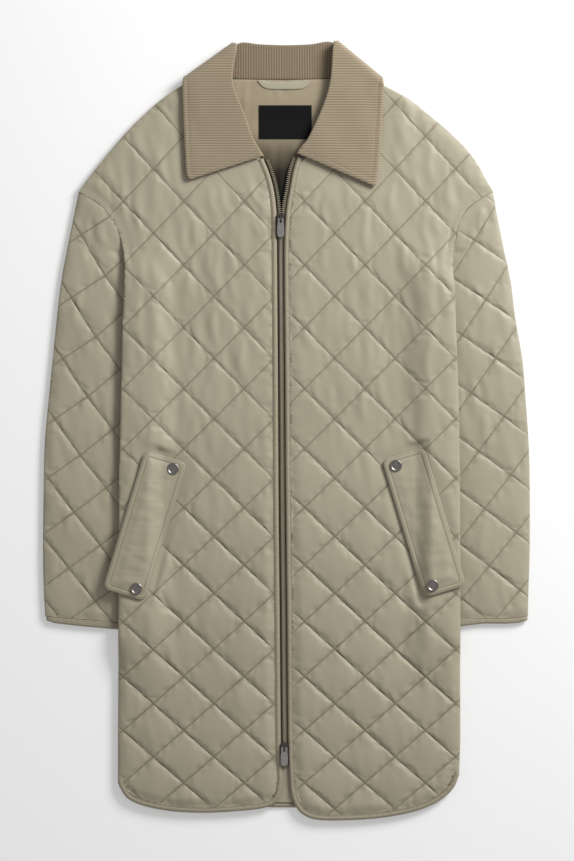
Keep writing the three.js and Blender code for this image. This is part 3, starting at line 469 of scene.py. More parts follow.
def even(line, step):
    """The line with points at an even step."""
    run = run_of(line)
    at = np.linspace(0, run[-1], max(int(run[-1] / step), 2) + 1)
    return np.stack([np.interp(at, run, line[:, k]) for k in range(line.shape[1])], axis=-1)


STITCH = {"pitch": 3.2, "length": 2.6, "half": 0.28, "rise": 0.2, "sink": 0.2}
ROW_RISE = 0.25  # of a row of stitches over padded cloth
ARMHOLE_STITCHES = 7.5  # from the armhole


def stitches(line):
    """Stitches along a line in space, each one a long bead."""
    run = run_of(line)
    start = np.arange(0.4, run[-1] - STITCH["length"], STITCH["pitch"])
    if len(start) == 0:
        return np.zeros((0, 3)), []

    def at(place):
        return np.stack([np.interp(place, run, line[:, k]) for k in range(3)], axis=-1)

    a, b = at(start), at(start + STITCH["length"])
    middle, along = (a + b) / 2, b - a
    along /= np.maximum(np.linalg.norm(along, axis=1), 1e-6)[:, None]
    up = np.array([0, 0, 1.0])
    beside_it = np.cross(along, up) * STITCH["half"]
    low = up * STITCH["sink"]
    corners = [a - low, b - low, middle + beside_it, middle - beside_it,
               middle + up * STITCH["rise"], middle - low]
    points = np.stack(corners, axis=1).reshape(-1, 3)
    bead = [(0, 2, 4), (0, 4, 3), (0, 3, 5), (0, 5, 2), (1, 4, 2), (1, 3, 4), (1, 5, 3), (1, 2, 5)]
    return points, [tuple(6 * n + k for k in f) for n in range(len(start)) for f in bead]


def sew(name, lines, slot, body=BODY):
    """All the stitches of one piece as one object."""
    parts = [stitches(line) for line in lines]
    points, faces = joined(*[p for p in parts if len(p[0])])
    return build(name, points, faces, thread, slot, body=body)


def on_surface(line, height):
    """A plan line lifted onto a height field."""
    return np.column_stack([line[:, 0], line[:, 1], height(line[:, 0], line[:, 1])])


# Materials
def new_material(name, color, roughness, metallic=0.0):
    material = bpy.data.materials.new(name)
    material.use_nodes = True
    shader = material.node_tree.nodes["Principled BSDF"]
    shader.inputs["Base Color"].default_value = (*color, 1)
    shader.inputs["Roughness"].default_value = roughness
    shader.inputs["Metallic"].default_value = metallic
    return material, material.node_tree, shader


def add(tree, kind, **inputs):
    """A new shader node. An underscore in the name of an input stands for a space."""
    made = tree.nodes.new("ShaderNode" + kind)
    for name, value in inputs.items():
        made.inputs[name.replace("_", " ")].default_value = value
    return made


def link(tree, source, output, target, into):
    tree.links.new(source.outputs[output], target.inputs[into])


def color_ramp(tree, *stops):
    made = add(tree, "ValToRGB")
    for _ in stops[2:]:
        made.color_ramp.elements.new(0.5)
    for element, (place, color) in zip(made.color_ramp.elements, stops):
        element.position = place
        element.color = (*color, 1)
    return made


def bumped(tree, source, output, strength, distance):
    """A bump whose height is a node's output, its distance in metres."""
    made = add(tree, "Bump", Strength=strength, Distance=distance)
    link(tree, source, output, made, "Height")
    return made


def ribs(tree, coords, direction, pitch, **inputs):
    """Ribs at a pitch in metres."""
    made = add(tree, "TexWave", Scale=0.314 / pitch, **inputs)
    made.bands_direction = direction
    link(tree, coords, "Object", made, "Vector")
    return made


def mottled(tree, shader, dark, light, scale, detail=4.0):
    """A slow change of colour over the cloth."""
    coords = add(tree, "TexCoord")
    cloud = add(tree, "TexNoise", Scale=scale, Detail=detail)
    ramp = color_ramp(tree, (0.3, dark), (0.7, light))
    link(tree, coords, "Object", cloud, "Vector")
    link(tree, cloud, "Fac", ramp, "Fac")
    link(tree, ramp, "Color", shader, "Base Color")
    return coords


def woven(tree, shader, coords, pitch, strength):
    """A plain weave as bump: two sets of fine ribs, pitch in metres."""
    both = add(tree, "Math")
    both.operation = "ADD"
    for place, direction in enumerate(("X", "Y")):
        link(tree, ribs(tree, coords, direction, pitch, Distortion=0.6, Detail=1.0), "Fac", both, place)
    link(tree, bumped(tree, both, "Value", strength, 0.0002), "Normal", shader, "Normal")


def cloth(name, dark, light, roughness, specular, pitch, strength, scale=9.0):
    material, tree, shader = new_material(name, light, roughness)
    coords = mottled(tree, shader, dark, light, scale)
    woven(tree, shader, coords, pitch, strength)
    shader.inputs["Specular IOR Level"].default_value = specular
    return material


def paint_groove_shade(material, dark):
    """Painted shade: the cloth's colour deepens in the grooves where a row of stitches draws it down."""
    tree = material.node_tree
    shader = tree.nodes["Principled BSDF"]
    plain = shader.inputs["Base Color"].links[0].from_socket
    groove_shade = add(tree, "Attribute")
    groove_shade.attribute_name = "groove_shade"
    blend = add(tree, "Mix")
    blend.data_type = "RGBA"
    link(tree, groove_shade, "Fac", blend, "Factor")
    tree.links.new(plain, blend.inputs["A"])
    blend.inputs["B"].default_value = (*dark, 1)
    link(tree, blend, "Result", shader, "Base Color")


def ribbed(name, dark, light, direction, pitch):
    """Corduroy: wales with darker grooves between them, across the given direction."""
    material, tree, shader = new_material(name, light, 0.95)
    shader.inputs["Specular IOR Level"].default_value = 0.15
    shader.inputs["Sheen Weight"].default_value = 0.25
    coords = add(tree, "TexCoord")
    wales = ribs(tree, coords, direction, pitch, Distortion=0.5, Detail=2.0, Detail_Scale=0.4)
    ramp = color_ramp(tree, (0.05, dark), (0.55, light))
    link(tree, wales, "Fac", ramp, "Fac")
    link(tree, ramp, "Color", shader, "Base Color")
    pile = add(tree, "TexNoise", Scale=1400.0)
    link(tree, coords, "Object", pile, "Vector")
    raised = bumped(tree, wales, "Fac", 0.5, 0.0005)
    link(tree, bumped(tree, pile, "Fac", 0.35, 0.0003), "Normal", raised, "Normal")
    link(tree, raised, "Normal", shader, "Normal")
    return material


quilt_cloth = cloth("satin quilt cloth", (0.318, 0.288, 0.207), (0.345, 0.312, 0.226), 0.5, 0.35,
                    0.0007, 0.12)
# The darker colour is painted shade in the grooves of the rows of stitches.
paint_groove_shade(quilt_cloth, (0.205, 0.18, 0.124))
WALE_PITCH = 0.0032
fall_corduroy = ribbed("corduroy of the falls", (0.205, 0.163, 0.108), (0.298, 0.244, 0.168), "Y",
                       WALE_PITCH)
stand_corduroy = ribbed("corduroy of the stand", (0.145, 0.111, 0.071), (0.222, 0.172, 0.114), "X",
                        WALE_PITCH)
binding_cloth = cloth("binding tape", (0.285, 0.25, 0.178), (0.315, 0.278, 0.2), 0.6, 0.3, 0.0008, 0.4)
tape_cloth = cloth("zip tape", (0.085, 0.072, 0.048), (0.11, 0.094, 0.064), 0.8, 0.15, 0.0012, 0.8)
teeth = cloth("zip teeth", (0.25, 0.222, 0.162), (0.3, 0.268, 0.198), 0.42, 0.5, 0.0006, 0.2, 60.0)
label_cloth = cloth("black label", (0.004, 0.004, 0.0045), (0.007, 0.007, 0.0075), 0.8, 0.12,
                    0.0006, 0.5)
thread = cloth("sewing thread", (0.17, 0.15, 0.103), (0.21, 0.187, 0.13), 0.7, 0.2, 0.0004, 0.3, 40.0)


def make_lining_with_painted_shade():
    """Smooth lining with painted shade: its colour deepens towards the point of the opening."""
    material, tree, shader = new_material("lining", (0.3, 0.25, 0.17), 0.5)
    coords = add(tree, "TexCoord")
    parts = add(tree, "SeparateXYZ")
    # Painted shade: near black at the point of the opening, rising to the lining's own colour higher up.
    ramp = color_ramp(tree, (0.3, (0.004, 0.003, 0.002)), (0.325, (0.02, 0.016, 0.01)),
                      (0.348, (0.11, 0.09, 0.06)), (0.375, (0.3, 0.25, 0.172)))
    link(tree, coords, "Object", parts, "Vector")
    link(tree, parts, "Y", ramp, "Fac")
    link(tree, ramp, "Color", shader, "Base Color")
    shader.inputs["Specular IOR Level"].default_value = 0.12
    woven(tree, shader, coords, 0.0005, 0.15)
    return material


lining_cloth = make_lining_with_painted_shade()


def brushed_metal(name, color, roughness):
    material, tree, shader = new_material(name, color, roughness, 1.0)
    coords = mottled(tree, shader, tuple(0.8 * c for c in color), color, 300.0, 2.0)
    grain = add(tree, "TexNoise", Scale=2500.0)
    link(tree, coords, "Object", grain, "Vector")
    link(tree, bumped(tree, grain, "Fac", 0.15, 0.0001), "Normal", shader, "Normal")
    return material


gunmetal = brushed_metal("gunmetal", (0.30, 0.275, 0.265), 0.32)
dark_metal = brushed_metal("dark slider metal", (0.13, 0.12, 0.118), 0.38)
bright_metal = brushed_metal("bright pull tab metal", (0.52, 0.49, 0.49), 0.3)


# Padded cloth
def quilt_sheet(lattice, span, rows, x_limits, y_limits, fine=FINE):
    """Plan and diamond places of a quilted piece, on a grid whose lines are rows of stitches."""
    first = math.floor(min(span[0] + rows[0], span[0] - rows[1]))
    last = math.ceil(max(span[1] + rows[1], span[1] - rows[0]))
    steps = np.arange(first * fine, last * fine + 1) / fine
    steps = steps - CROWDING * np.sin(2 * math.pi * steps) / (2 * math.pi)
    rising, falling = np.meshgrid(steps, steps)
    across, along = (rising + falling) / 2, (rising - falling) / 2
    x, y = lattice(np.clip(across, *span), np.clip(along, *rows))
    for _ in range(3):
        y = np.clip(y, *y_limits(x))
        x = np.clip(x, *x_limits(y))
    plan = np.stack([x, y, across, along], axis=-1).reshape(-1, 4)
    keys = np.round(plan[:, :2] / 0.05).astype(np.int64)
    _, chosen, index = np.unique(keys, axis=0, return_index=True, return_inverse=True)
    index = index.reshape(-1)
    corners = index[np.array(quads(len(steps), len(steps)))]
    place = plan[chosen][:, :2]
    p, q, r, s = (place[corners[:, k]] for k in range(4))
    area = (r - p)[:, 0] * (s - q)[:, 1] - (r - p)[:, 1] * (s - q)[:, 0]
    corners = corners[np.abs(area) > 0.1]
    area = area[np.abs(area) > 0.1]
    if np.sum(area) < 0:
        corners = corners[:, ::-1]
        area = -area
    corners = corners[area > 0]
    used, index = np.unique(corners, return_inverse=True)
    index = index.reshape(corners.shape)
    faces = []
    for face in index.tolist():
        ring = tuple(k for n, k in enumerate(face) if k != face[n - 1])
        if len(set(ring)) == len(ring) > 2:
            faces.append(ring)
    return plan[chosen][used], faces


def temporary(points, faces):
    mesh = bpy.data.meshes.new("being worked")
    mesh.from_pydata(points.tolist(), [], faces)
    made = bpy.data.objects.new("being worked", mesh)
    bpy.context.collection.objects.link(made)
    return made


def evaluated(made):
    """Points and faces of an object with its modifiers."""
    shown = made.evaluated_get(bpy.context.evaluated_depsgraph_get())
    mesh = shown.to_mesh()
    flat = np.empty(len(mesh.vertices) * 3)
    mesh.vertices.foreach_get("co", flat)
    faces = [tuple(p.vertices) for p in mesh.polygons]
    shown.to_mesh_clear()
    return flat.reshape(-1, 3), faces


def discard(made):
    mesh = made.data
    bpy.data.objects.remove(made)
    bpy.data.meshes.remove(mesh)


CLOTH = {"scale": 0.01, "frames": 12, "pressure": 0.5, "spare": 0.012, "cap": 0.6}
HELD_SHARE = 0.02  # of a puff, under which a point belongs to a row of stitches
LEAST_WALL = 0.8


def inflated(points, faces, held):
    """The sheet after Blender's cloth simulation has blown it up between its held points."""
    made = temporary(points * CLOTH["scale"], faces)
    group = made.vertex_groups.new(name="held")
    group.add([int(k) for k in np.flatnonzero(held)], 1.0, "REPLACE")
    cloth_modifier = made.modifiers.new("cloth", "CLOTH")
    settings = cloth_modifier.settings
    settings.vertex_group_mass = "held"
    settings.quality = 5
    settings.mass = 0.12
    settings.tension_stiffness = 12
    settings.compression_stiffness = 6
    settings.shear_stiffness = 4
    settings.bending_stiffness = 0.08
    settings.use_pressure = True
    settings.uniform_pressure_force = CLOTH["pressure"]
    settings.shrink_min = -CLOTH["spare"]
    settings.effector_weights.gravity = 0
    cloth_modifier.collision_settings.use_collision = False
    scene = bpy.context.scene
    for frame_number in range(1, CLOTH["frames"] + 1):
        scene.frame_set(frame_number)
    blown, _ = evaluated(made)
    discard(made)
    scene.frame_set(1)
    moved = blown / CLOTH["scale"] - points
    length = np.linalg.norm(moved, axis=1)
    return points + moved * (np.minimum(length, CLOTH["cap"]) / np.maximum(length, 1e-6))[:, None]


def quilted(name, sheet, top, under, pressed, nodes):
    """A padded wall whose puffs rise from its rows of stitches over a plain inside."""
    plan, faces = sheet
    x, y, across, along = plan.T
    shape = np.column_stack([x, y, top(x, y, across, along)])
    floor = under(x, y)
    on_row = puff(across, along) < HELD_SHARE
    held = on_row | np.isin(np.arange(len(x)), np.array(rim_of(faces)))
    blown = inflated(shape, faces, held)
    share = np.broadcast_to(pressed(x, y), x.shape)[:, None]
    shape = blown * (1 - share) + shape * share
    shape[:, 2] = np.maximum(shape[:, 2], floor + LEAST_WALL)
    inside = np.column_stack([x, y, floor])
    # Painted shade along the rows of stitches, on the top sheet.
    groove_shade = row_groove_shade(across, along)
    made = build(name, *closed(shape, inside, faces), quilt_cloth, "quilt_cloth", *nodes,
                 sharp=PADDED_SHARP, groove_shade=np.concatenate([groove_shade, 0 * groove_shade]))
    return made


def stitched_rows(lattice, span, rows, inside, height):
    """The rows of stitches of a quilted piece, as lines on its surface."""
    first = math.floor(span[0] - rows[1])
    last = math.ceil(span[1] + rows[1])
    t = np.arange(first * 24, last * 24 + 1) / 24
    lines = []
    for k in range(first, last + 1):
        for across, along in (((k + t) / 2, (k - t) / 2), ((k + t) / 2, (t - k) / 2)):
            shown = (across > span[0]) & (across < span[1]) & (along > rows[0]) & (along < rows[1])
            x, y = lattice(across, along)
            shown &= inside(x, y)
            for part in np.split(np.arange(len(t)), np.flatnonzero(~shown)):
                part = part[shown[part]]
                if len(part) > 3:
                    a, b, c, d = x[part], y[part], across[part], along[part]
                    lines.append(np.column_stack([a, b, height(a, b, c, d)]))
    return lines


BODY_ROW = (207.2, -79, 0.775)  # y at the middle line, as terms of the row number


def body_lattice(across, along):
    y0, y1, y2 = BODY_ROW
    return BODY_NODE_X + BODY_PITCH * across, y0 + y1 * along + y2 * along**2


def body_phase(x, y):
    """The diamond place of a point on the body."""
    y0, y1, y2 = BODY_ROW
    along = (-y1 - np.sqrt(y1**2 - 4 * y2 * (y0 - y))) / (2 * y2)
    return (x - BODY_NODE_X) / BODY_PITCH, along


def ordered(line, axis):
    """A line's places along one axis in order, and along the other one with them."""
    order = np.argsort(line[:, axis])
    return line[order, axis], line[order, 1 - axis]


def limits(outer, inner, low, high, side="left"):
    """The least and most x at a height y, and the least and most y at a place x, as two functions."""
    outer, inner, low, high = ordered(outer, 1), ordered(inner, 1), ordered(low, 0), ordered(high, 0)

    def x_limits(y):
        edges = (np.interp(y, *outer), np.interp(y, *inner))
        return edges if side == "left" else edges[::-1]

    def y_limits(x):
        return np.interp(x, *low), np.interp(x, *high)

    return x_limits, y_limits


def within(outline, x, y, beside_it, below, above):
    """Where a place is farther than the given margins from the outline's edges."""
    x_limits, y_limits = outline
    low_y, high_y = y_limits(x)
    low_x, high_x = x_limits(y)
    clear = (x > low_x + beside_it) & (x < high_x - beside_it)
    return clear & (y > low_y + below) & (y < high_y - above)


def front_outline(side):
    edge = panel_edge[side]
    corner = HEM_START * 6
    neck = beside(front_neck[side], SIGN[side] * 1.6)
    inner = np.vstack([neck[:-8], edge[: corner + 12]])
    return limits(body_side[side], inner, edge[corner:], np.vstack([shoulder[side], neck[30:]]), side)


FRONT_SPAN = {"left": (-3.75, 0), "right": (-0.75, 3.25)}
FRONT_ROWS = (-3.25, 10)


def shared(side, x, y):
    """How far a flap or the collar holds the puffs down."""
    return (1 - coverage(side, x, y)) / (1 - PRESSED)


def make_front(side):
    outline = front_outline(side)
    sheet = quilt_sheet(body_lattice, FRONT_SPAN[side], FRONT_ROWS, *outline)
    quilted("front_" + side + "_cloth", sheet, lambda x, y, a, b: front_top(side, x, y, a, b),
            front_under, lambda x, y: shared(side, x, y), ["front_" + side])

    def inside(x, y):
        clear = within(outline, x, y, 1, 1, 1)
        return clear & (distance_to(armhole[side], x, y) > 8.5) & (shared(side, x, y) < 0.9)

    def row_height(x, y, *place):
        return front_top(side, x, y, *(place or body_phase(x, y))) + ROW_RISE

    rows = stitched_rows(body_lattice, FRONT_SPAN[side], FRONT_ROWS, inside, row_height)
    topstitch = beside(even(armhole[side][2:-1], 2), -SIGN[side] * ARMHOLE_STITCHES)
    rows.append(on_surface(topstitch, row_height))
    sew("front_" + side + "_stitches", rows, "quilt_cloth")


# Sleeves: quilted rows run across each sleeve from a curved middle line
SLEEVE_AXIS = {  # x and y of the middle line, as terms of the row number
    "left": ((-227.5, -12.3, 0.65), (193.9, -77.5, 0.85)),
    "right": ((235, 15.2, -0.95), (238.3, -74.2, 0.2)),
}
SLEEVE_SPAN = {"left": (-1, 1.5), "right": (-2, 1)}
SLEEVE_ROWS = (-2, 7)
UPPER_FLOOR = SLEEVE_UNDER + SLEEVE_GAP


def sleeve_lattice(side):
    (x0, x1, x2), (y0, y1, y2) = SLEEVE_AXIS[side]

    def place(across, along):
        if side == "left":
            tilt = np.where(across < 0, 0.03 * along - 0.32, -0.03 - 0.03 * along)
        else:
            tilt = 0.24 - 0.015 * along
        step = SLEEVE_PITCH * across
        return x0 + x1 * along + x2 * along**2 + step, y0 + y1 * along + y2 * along**2 + step * tilt

    return place


def cuff_line(side, column):
    return ordered(CUFF[side][:, [0, column]], 0)


def sleeve_outline(side):
    hole = armhole[side] + (0.3 * SIGN[side], -0.3)
    inner = np.vstack([hole, side_line(SLEEVE_INNER[1:], side)])
    return limits(sleeve_outer[side], inner, CUFF[side][:, :2], hole, side)


def sleeve_top(side, x, y, across, along):
    outer = distance_to(sleeve_outer[side], x, y)
    sewn = smooth(distance_to(armhole[side], x, y) / 18)
    seam_x, seam_y = cuff_line(side, 1)
    cuff = smooth((y - np.interp(x, seam_x, seam_y)) / 12)
    share = np.minimum(sewn, cuff)
    filled = padding(x, y, across, along, 0.4) * share
    base = UPPER_FLOOR + SLEEVE_RIM
    to_body = 1.9 * hump(distance_to(armhole[side], x, y), 17) * smooth((y - 225) / 18)
    outside = np.maximum(SIGN[side] * (x - side_x(SIDE, y, side)), 0)
    tucked = -1.6 * hump(outside, 15) * smooth((222 - y) / 30)
    free = base + (SLEEVE_WALL - SLEEVE_RIM + filled + to_body + tucked) * bulge(outer / 22)
    roof = np.where(y < 227, body_lift(x, y) - 0.6 + 0.3 * outside, 99)
    return np.minimum(free, np.maximum(roof, base - 0.4))


def sleeve_floor(side, x, y):
    inset = SIGN[side] * (side_x(SLEEVE_OUTER, y, side) - x)
    return 2 * (1 - clamp(inset / 9)) ** 2


def groove(across, along):
    """One on a row of stitches and none in a diamond."""
    return (1 - clamp(puff(across, along) / 0.45)) ** 2


def row_groove_shade(across, along):
    """How far the painted shade of a row's groove shows at a point."""
    return hump(puff(across, along), 0.12)


def make_sleeve(side):
    lattice = sleeve_lattice(side)
    outline = sleeve_outline(side)
    sheet = quilt_sheet(lattice, SLEEVE_SPAN[side], SLEEVE_ROWS, *outline)

    def outward(x, y):
        return SIGN[side] * (x - side_x(SIDE, y, side))

    quilted("sleeve_" + side + "_upper_cloth", sheet, lambda x, y, a, b: sleeve_top(side, x, y, a, b),
            lambda x, y: UPPER_FLOOR + 0 * x,
            lambda x, y: smooth((6 - outward(x, y)) / 6) * (y < 230), ["sleeve_" + side + "_upper"])
    plan, faces = sheet
    x, y, across, along = plan.T
    below = sleeve_floor(side, x, y) + 0.6 * groove(across, along)
    below = np.minimum(below, SLEEVE_UNDER - 0.4)
    # Painted shade along the rows of stitches, on the underside.
    groove_shade = row_groove_shade(across, along)
    made = build("sleeve_" + side + "_under_cloth", *wall(x, y, SLEEVE_UNDER + 0 * x, below, faces),
                 quilt_cloth, "quilt_cloth", "sleeve_" + side + "_under",
                 groove_shade=np.concatenate([0 * groove_shade, groove_shade]))

    def inside(x, y):
        return within(outline, x, y, 3, 1, 3) & ((outward(x, y) > 1) | (y > 207))

    rows = stitched_rows(lattice, SLEEVE_SPAN[side], SLEEVE_ROWS, inside,
                         lambda x, y, a, b: sleeve_top(side, x, y, a, b) + ROW_RISE)
    sew("sleeve_" + side + "_stitches", rows, "quilt_cloth")


# The back lies under everything, flat where it rests
BACK_NECK = np.array([(-88, 445.6), (-72, 440), (-3, 438.8), (59, 440.4), (84, 446)])
BACK_SPAN = (-3.75, 3.25)
BACK_FINE = FINE // 2


def back_under(x, y):
    rounding = np.where(y < 207, 1 - clamp(inset_of(x, y) / 12), 0)
    return body_lift(x, y) + 2.5 * rounding**2


def make_back():
    hem = beside(back_hem, BINDING_WIDTH + 0.05)
    top_line = np.vstack([shoulder["left"], BACK_NECK[1:-1], shoulder["right"]])
    outline = limits(body_side["left"], body_side["right"], hem, top_line)
    plan, faces = quilt_sheet(body_lattice, BACK_SPAN, FRONT_ROWS, *outline, BACK_FINE)
    x, y, across, along = plan.T
    below = back_under(x, y) + 0.9 * groove(across, along)
    # Painted shade along the rows of stitches, on the underside where the back rests.
    groove_shade = row_groove_shade(across, along)
    made = build("back_cloth", *wall(x, y, back_top(x, y), below, faces), quilt_cloth, "quilt_cloth",
                 "back", sharp=PADDED_SHARP, groove_shade=np.concatenate([0 * groove_shade, groove_shade]))


# Bindings
BINDING_SECTION = closed_curve([
    (0.15, 0.5), (0, 2), (1.0, 3.4), (2.8, 3.95), (4.6, 3.6), (5.3, 3.15), (6.0, 3.2), (6.5, 2.2),
    (6.5, 0.2),
])
BINDING_STITCHES = (5.3, 3.42)  # from the outer edge, and height


def make_binding(name, line, side, base, rise, seed, node):
    line = even(line, 1.6)
    section = BINDING_SECTION + (0, rise)
    section[:, 1] = np.maximum(section[:, 1], 0.2)
    build(name, *swept(line, side, section, base, 0.055, seed), binding_cloth, "binding_cloth", node)
    inset, height = BINDING_STITCHES
    stitched = beside(line, SIGN[side] * inset)
    sew(name + "_stitches", [on_surface(stitched, lambda x, y: base(x, y) + rise + height)],
        "binding_cloth")


def to_side(side):
    """The line of a front's binding, run on to the side of the jacket."""
    end = front_edge[side][-1]
    return np.vstack([front_edge[side], end + (SIGN[side] * 1.2, 3.5), end + (SIGN[side] * 1.6, 7.5)])


def make_cuff(side):
    seam_x, seam_y = cuff_line(side, 1)
    _, end_y = cuff_line(side, 2)
    x = np.linspace(seam_x[0], seam_x[-1], 110)
    t = np.linspace(0, 1, 11)
    start = np.interp(x, seam_x, seam_y) - 0.3
    stop = np.interp(x, seam_x, end_y)
    grid_x, grid_t = np.meshgrid(x, t)
    y = start + (stop - start) * grid_t
    width = start - stop
    outer = np.abs(x - (seam_x[0] if side == "left" else seam_x[-1]))
    fold = bulge(outer / 7)
    full = np.minimum(bulge((grid_t * width + 0.6) / 2.4), bulge(((1 - grid_t) * width + 0.3) / 3))
    pucker = 1 + 0.05 * noise(grid_x, 0 * y, 8, 21)
    rise = 3.3 * full * fold * pucker
    sheets = []
    for low, high in ((UPPER_FLOOR + 0 * y, UPPER_FLOOR + rise),
                      (SLEEVE_UNDER * (1 - full * fold), SLEEVE_UNDER + 0 * y)):
        sheets.append(wall(grid_x, y, high, np.minimum(low, high - 0.02)))
    build("cuff_" + side + "_cloth", *joined(*sheets), binding_cloth, "binding_cloth",
          "cuff_binding_" + side)
    row = 1.3 / width
    line = np.column_stack([x, start - 1.3, UPPER_FLOOR + 3.3 * bulge((row * width + 0.6) / 2.4) * fold])
    sew("cuff_" + side + "_stitches", [line[3:]], "binding_cloth")


# Zip
ZIP = {"pitch": 2.5, "open_y": 262, "low_y": -409, "tape_end": -424, "tooth": (3.5, 1.15, 1.5)}
TAPE_RISE = 1.3
TAPE_WALL = 1.5


def tape_base(x, y):
    return front_under(x, y) + TAPE_RISE


def make_tape(side):
    line = front_edge[side][1:]
    line = even(line[line[:, 1] > ZIP["tape_end"]], 3)
    section = np.array([(-0.3, -1.1), (-0.3, -0.6), (-1.3, -0.5), (-1.7, 1.2), (-2.2, 1.5), (-3.4, 1.6),
                        (-4.0, 1.4), (-4.2, 0.8), (-4.0, -1.1)])
    build("zip_tape_" + side + "_cloth", *swept(line, side, section, tape_base), tape_cloth,
          "zip_tape", "zip_tape_" + side)


def tooth_places(side):
    """Middle and direction of each tooth on one side."""
    line = beside(front_edge[side], -SIGN[side] * 4.25)
    start = 0.0 if side == "left" else 0.5
    y = np.arange(ZIP["open_y"] - start * ZIP["pitch"], ZIP["low_y"], -ZIP["pitch"])
    x = np.interp(y, *ordered(line, 1))
    places = [(a, b, 0.0, -1.0) for a, b in zip(x, y)]
    upper = even(line[line[:, 1] > ZIP["open_y"]][::-1], 0.5)
    for k in range(5, len(upper) - 6, 5):
        step = upper[k + 1] - upper[k - 1]
        step /= np.linalg.norm(step)
        places.append((*upper[k], *step))
    return np.array(places)


def make_teeth(side):
    places = tooth_places(side)
    width, length, height = ZIP["tooth"]
    along = places[:, 2:]
    across = np.column_stack([-along[:, 1], along[:, 0]])
    base = tape_base(places[:, 0], places[:, 1]) + TAPE_WALL - 0.5
    corners = []
    for share, z in ((1, 0), (0.72, height)):
        for a, b in ((-1, -1), (1, -1), (1, 1), (-1, 1)):
            xy = places[:, :2] + across * a * share * width / 2 + along * b * share * length / 2
            corners.append(np.column_stack([xy, base + z]))
    points = np.stack(corners, axis=1).reshape(-1, 3)
    block = [(3, 2, 1, 0), (4, 5, 6, 7), (0, 1, 5, 4), (1, 2, 6, 5), (2, 3, 7, 6), (3, 0, 4, 7)]
    faces = [tuple(8 * n + k for k in f) for n in range(len(places)) for f in block]
    build("zip_teeth_" + side, points, faces, teeth, "zip_tape", sharp=30)


# Inside of the neck
ON_LINING = 1.95  # height of the label and the loop over the back
LINING_SIDE = np.array([  # y, left x, right x: the front's edge, then under the roll of the collar
    (262, -12.1, -2.3), (281, -13.1, -0.3), (303, -16.2, 3.7), (323, -21.7, 7.7), (341, -29.5, 14),
    (352, -40.5, 26), (367, -49, 34.5), (401, -61.5, 52), (438.2, -74, 61.5),
])
LABEL = {"x": -1.5, "y": 386.2, "width": 66, "length": 42}


def lining_fold(x, y):
    """Soft folds that run down the lining, flat under the label."""
    beyond_x = np.abs(x - LABEL["x"]) - LABEL["width"] / 2
    beyond_y = np.abs(y - LABEL["y"]) - LABEL["length"] / 2
    clear = smooth(np.maximum(beyond_x, beyond_y) / 14)
    centre = hump(x + 4 + (y - 340) * 0.05, 4.5) * smooth((362 - y) / 14)
    return (1.7 * noise(x * 1.2, y * 0.25, 26, 31) - 1.2 * centre + 0.3) * clear


def make_lining():
    y = np.linspace(262, 438.2, 90)
    t = np.linspace(0, 1, 61)
    left, right = side_x(LINING_SIDE, y, "left"), side_x(LINING_SIDE, y, "right")
    grid_t, grid_y = np.meshgrid(t, y)
    x = left[:, None] + (right - left)[:, None] * grid_t
    floor = back_top(x, grid_y) + 0.3
    rise = np.maximum(1.3 + 0.35 * lining_fold(x, grid_y), 0.5)
    made = build("lining_cloth", *wall(x, grid_y, floor + rise, floor), lining_cloth, "lining_cloth",
                 "back_lining")


def make_label():
    half_width, half_length = LABEL["width"] / 2, LABEL["length"] / 2
    grid_x, grid_y = np.meshgrid(np.linspace(-half_width, half_width, 45),
                                 np.linspace(-half_length, half_length, 29))
    x, y = grid_x + LABEL["x"], grid_y + LABEL["y"]
    edge = np.minimum(half_width - np.abs(grid_x), half_length - np.abs(grid_y))
    floor = back_top(x, y) + ON_LINING
    bow = 0.25 * np.sin((grid_x + 10) / 17) * smooth(edge / 6)
    top = floor + 0.75 * bulge((edge + 0.3) / 1.2) + bow * 0.4 - 0.12 * hump(edge - 1.6, 0.5)
    made = build("label", *wall(x, y, top, floor), label_cloth, "label_cloth", "neck_label", sharp=60)


LOOP = {"left": -36, "right": 30.5, "drop": 11.5, "seam": 438.3, "tape": 9.5}


def make_loop():
    share = np.linspace(-1, 1, 81)
    middle, half = (LOOP["left"] + LOOP["right"]) / 2, (LOOP["right"] - LOOP["left"]) / 2
    sag = LOOP["drop"] * (1 - share**6)
    outer = LOOP["seam"] - sag
    inner = LOOP["seam"] - np.maximum(sag - LOOP["tape"], 0)
    t = np.linspace(0, 1, 11)
    x = np.repeat((middle + half * share)[:, None], len(t), axis=1)
    y = outer[:, None] + (inner - outer)[:, None] * t
    edge = np.minimum(t, 1 - t) * LOOP["tape"]
    floor = back_top(x, y) + ON_LINING
    rise = 1.2 * bulge((edge + 0.25) / 1.4) - 0.15 * hump(edge - 1.6, 0.5)
    made = build("loop", *wall(x, y, floor + rise, floor), quilt_cloth, "quilt_cloth", "hanger_loop")


# Collar, by sections from the roll line or neck seam to its other edge
FALL = np.array([  # left roll x, y, z, left edge x, y, z, right roll x, y, right edge x, y
    (-28, 343.5, 13, -120.5, 313.5, 13.6, 12.5, 346.5, 110, 305),
    (-33.5, 352, 14.6, -125.5, 320, 13.6, 19, 356, 113.5, 312),
    (-42, 367, 15.6, -127.5, 350, 13.6, 27.5, 367, 117, 345),
    (-54.5, 401, 17.4, -129.5, 392, 14.2, 45, 405, 120, 392),
    (-67, 438, 18.6, -130.5, 426, 16.4, 54.5, 438, 121.5, 426),
])
FALL_FOLD = {"left": ((-66.5, 485.5), (-130.3, 441)), "right": ((63, 488), (121.5, 441))}
FALL_TURN = ((8, 17.6, 0), (2.4, 15.4, 1.1), (0.2, 9.4, 2.1), (1.8, 3.6, 7), (6, 1.4, 12))
FALL_BACK = ((-48, 483.5, -76, 424), (-25, 482.5, -38, 420), (-3, 482, -4, 419), (20, 483, 31, 420),
             (44, 485, 67, 424))
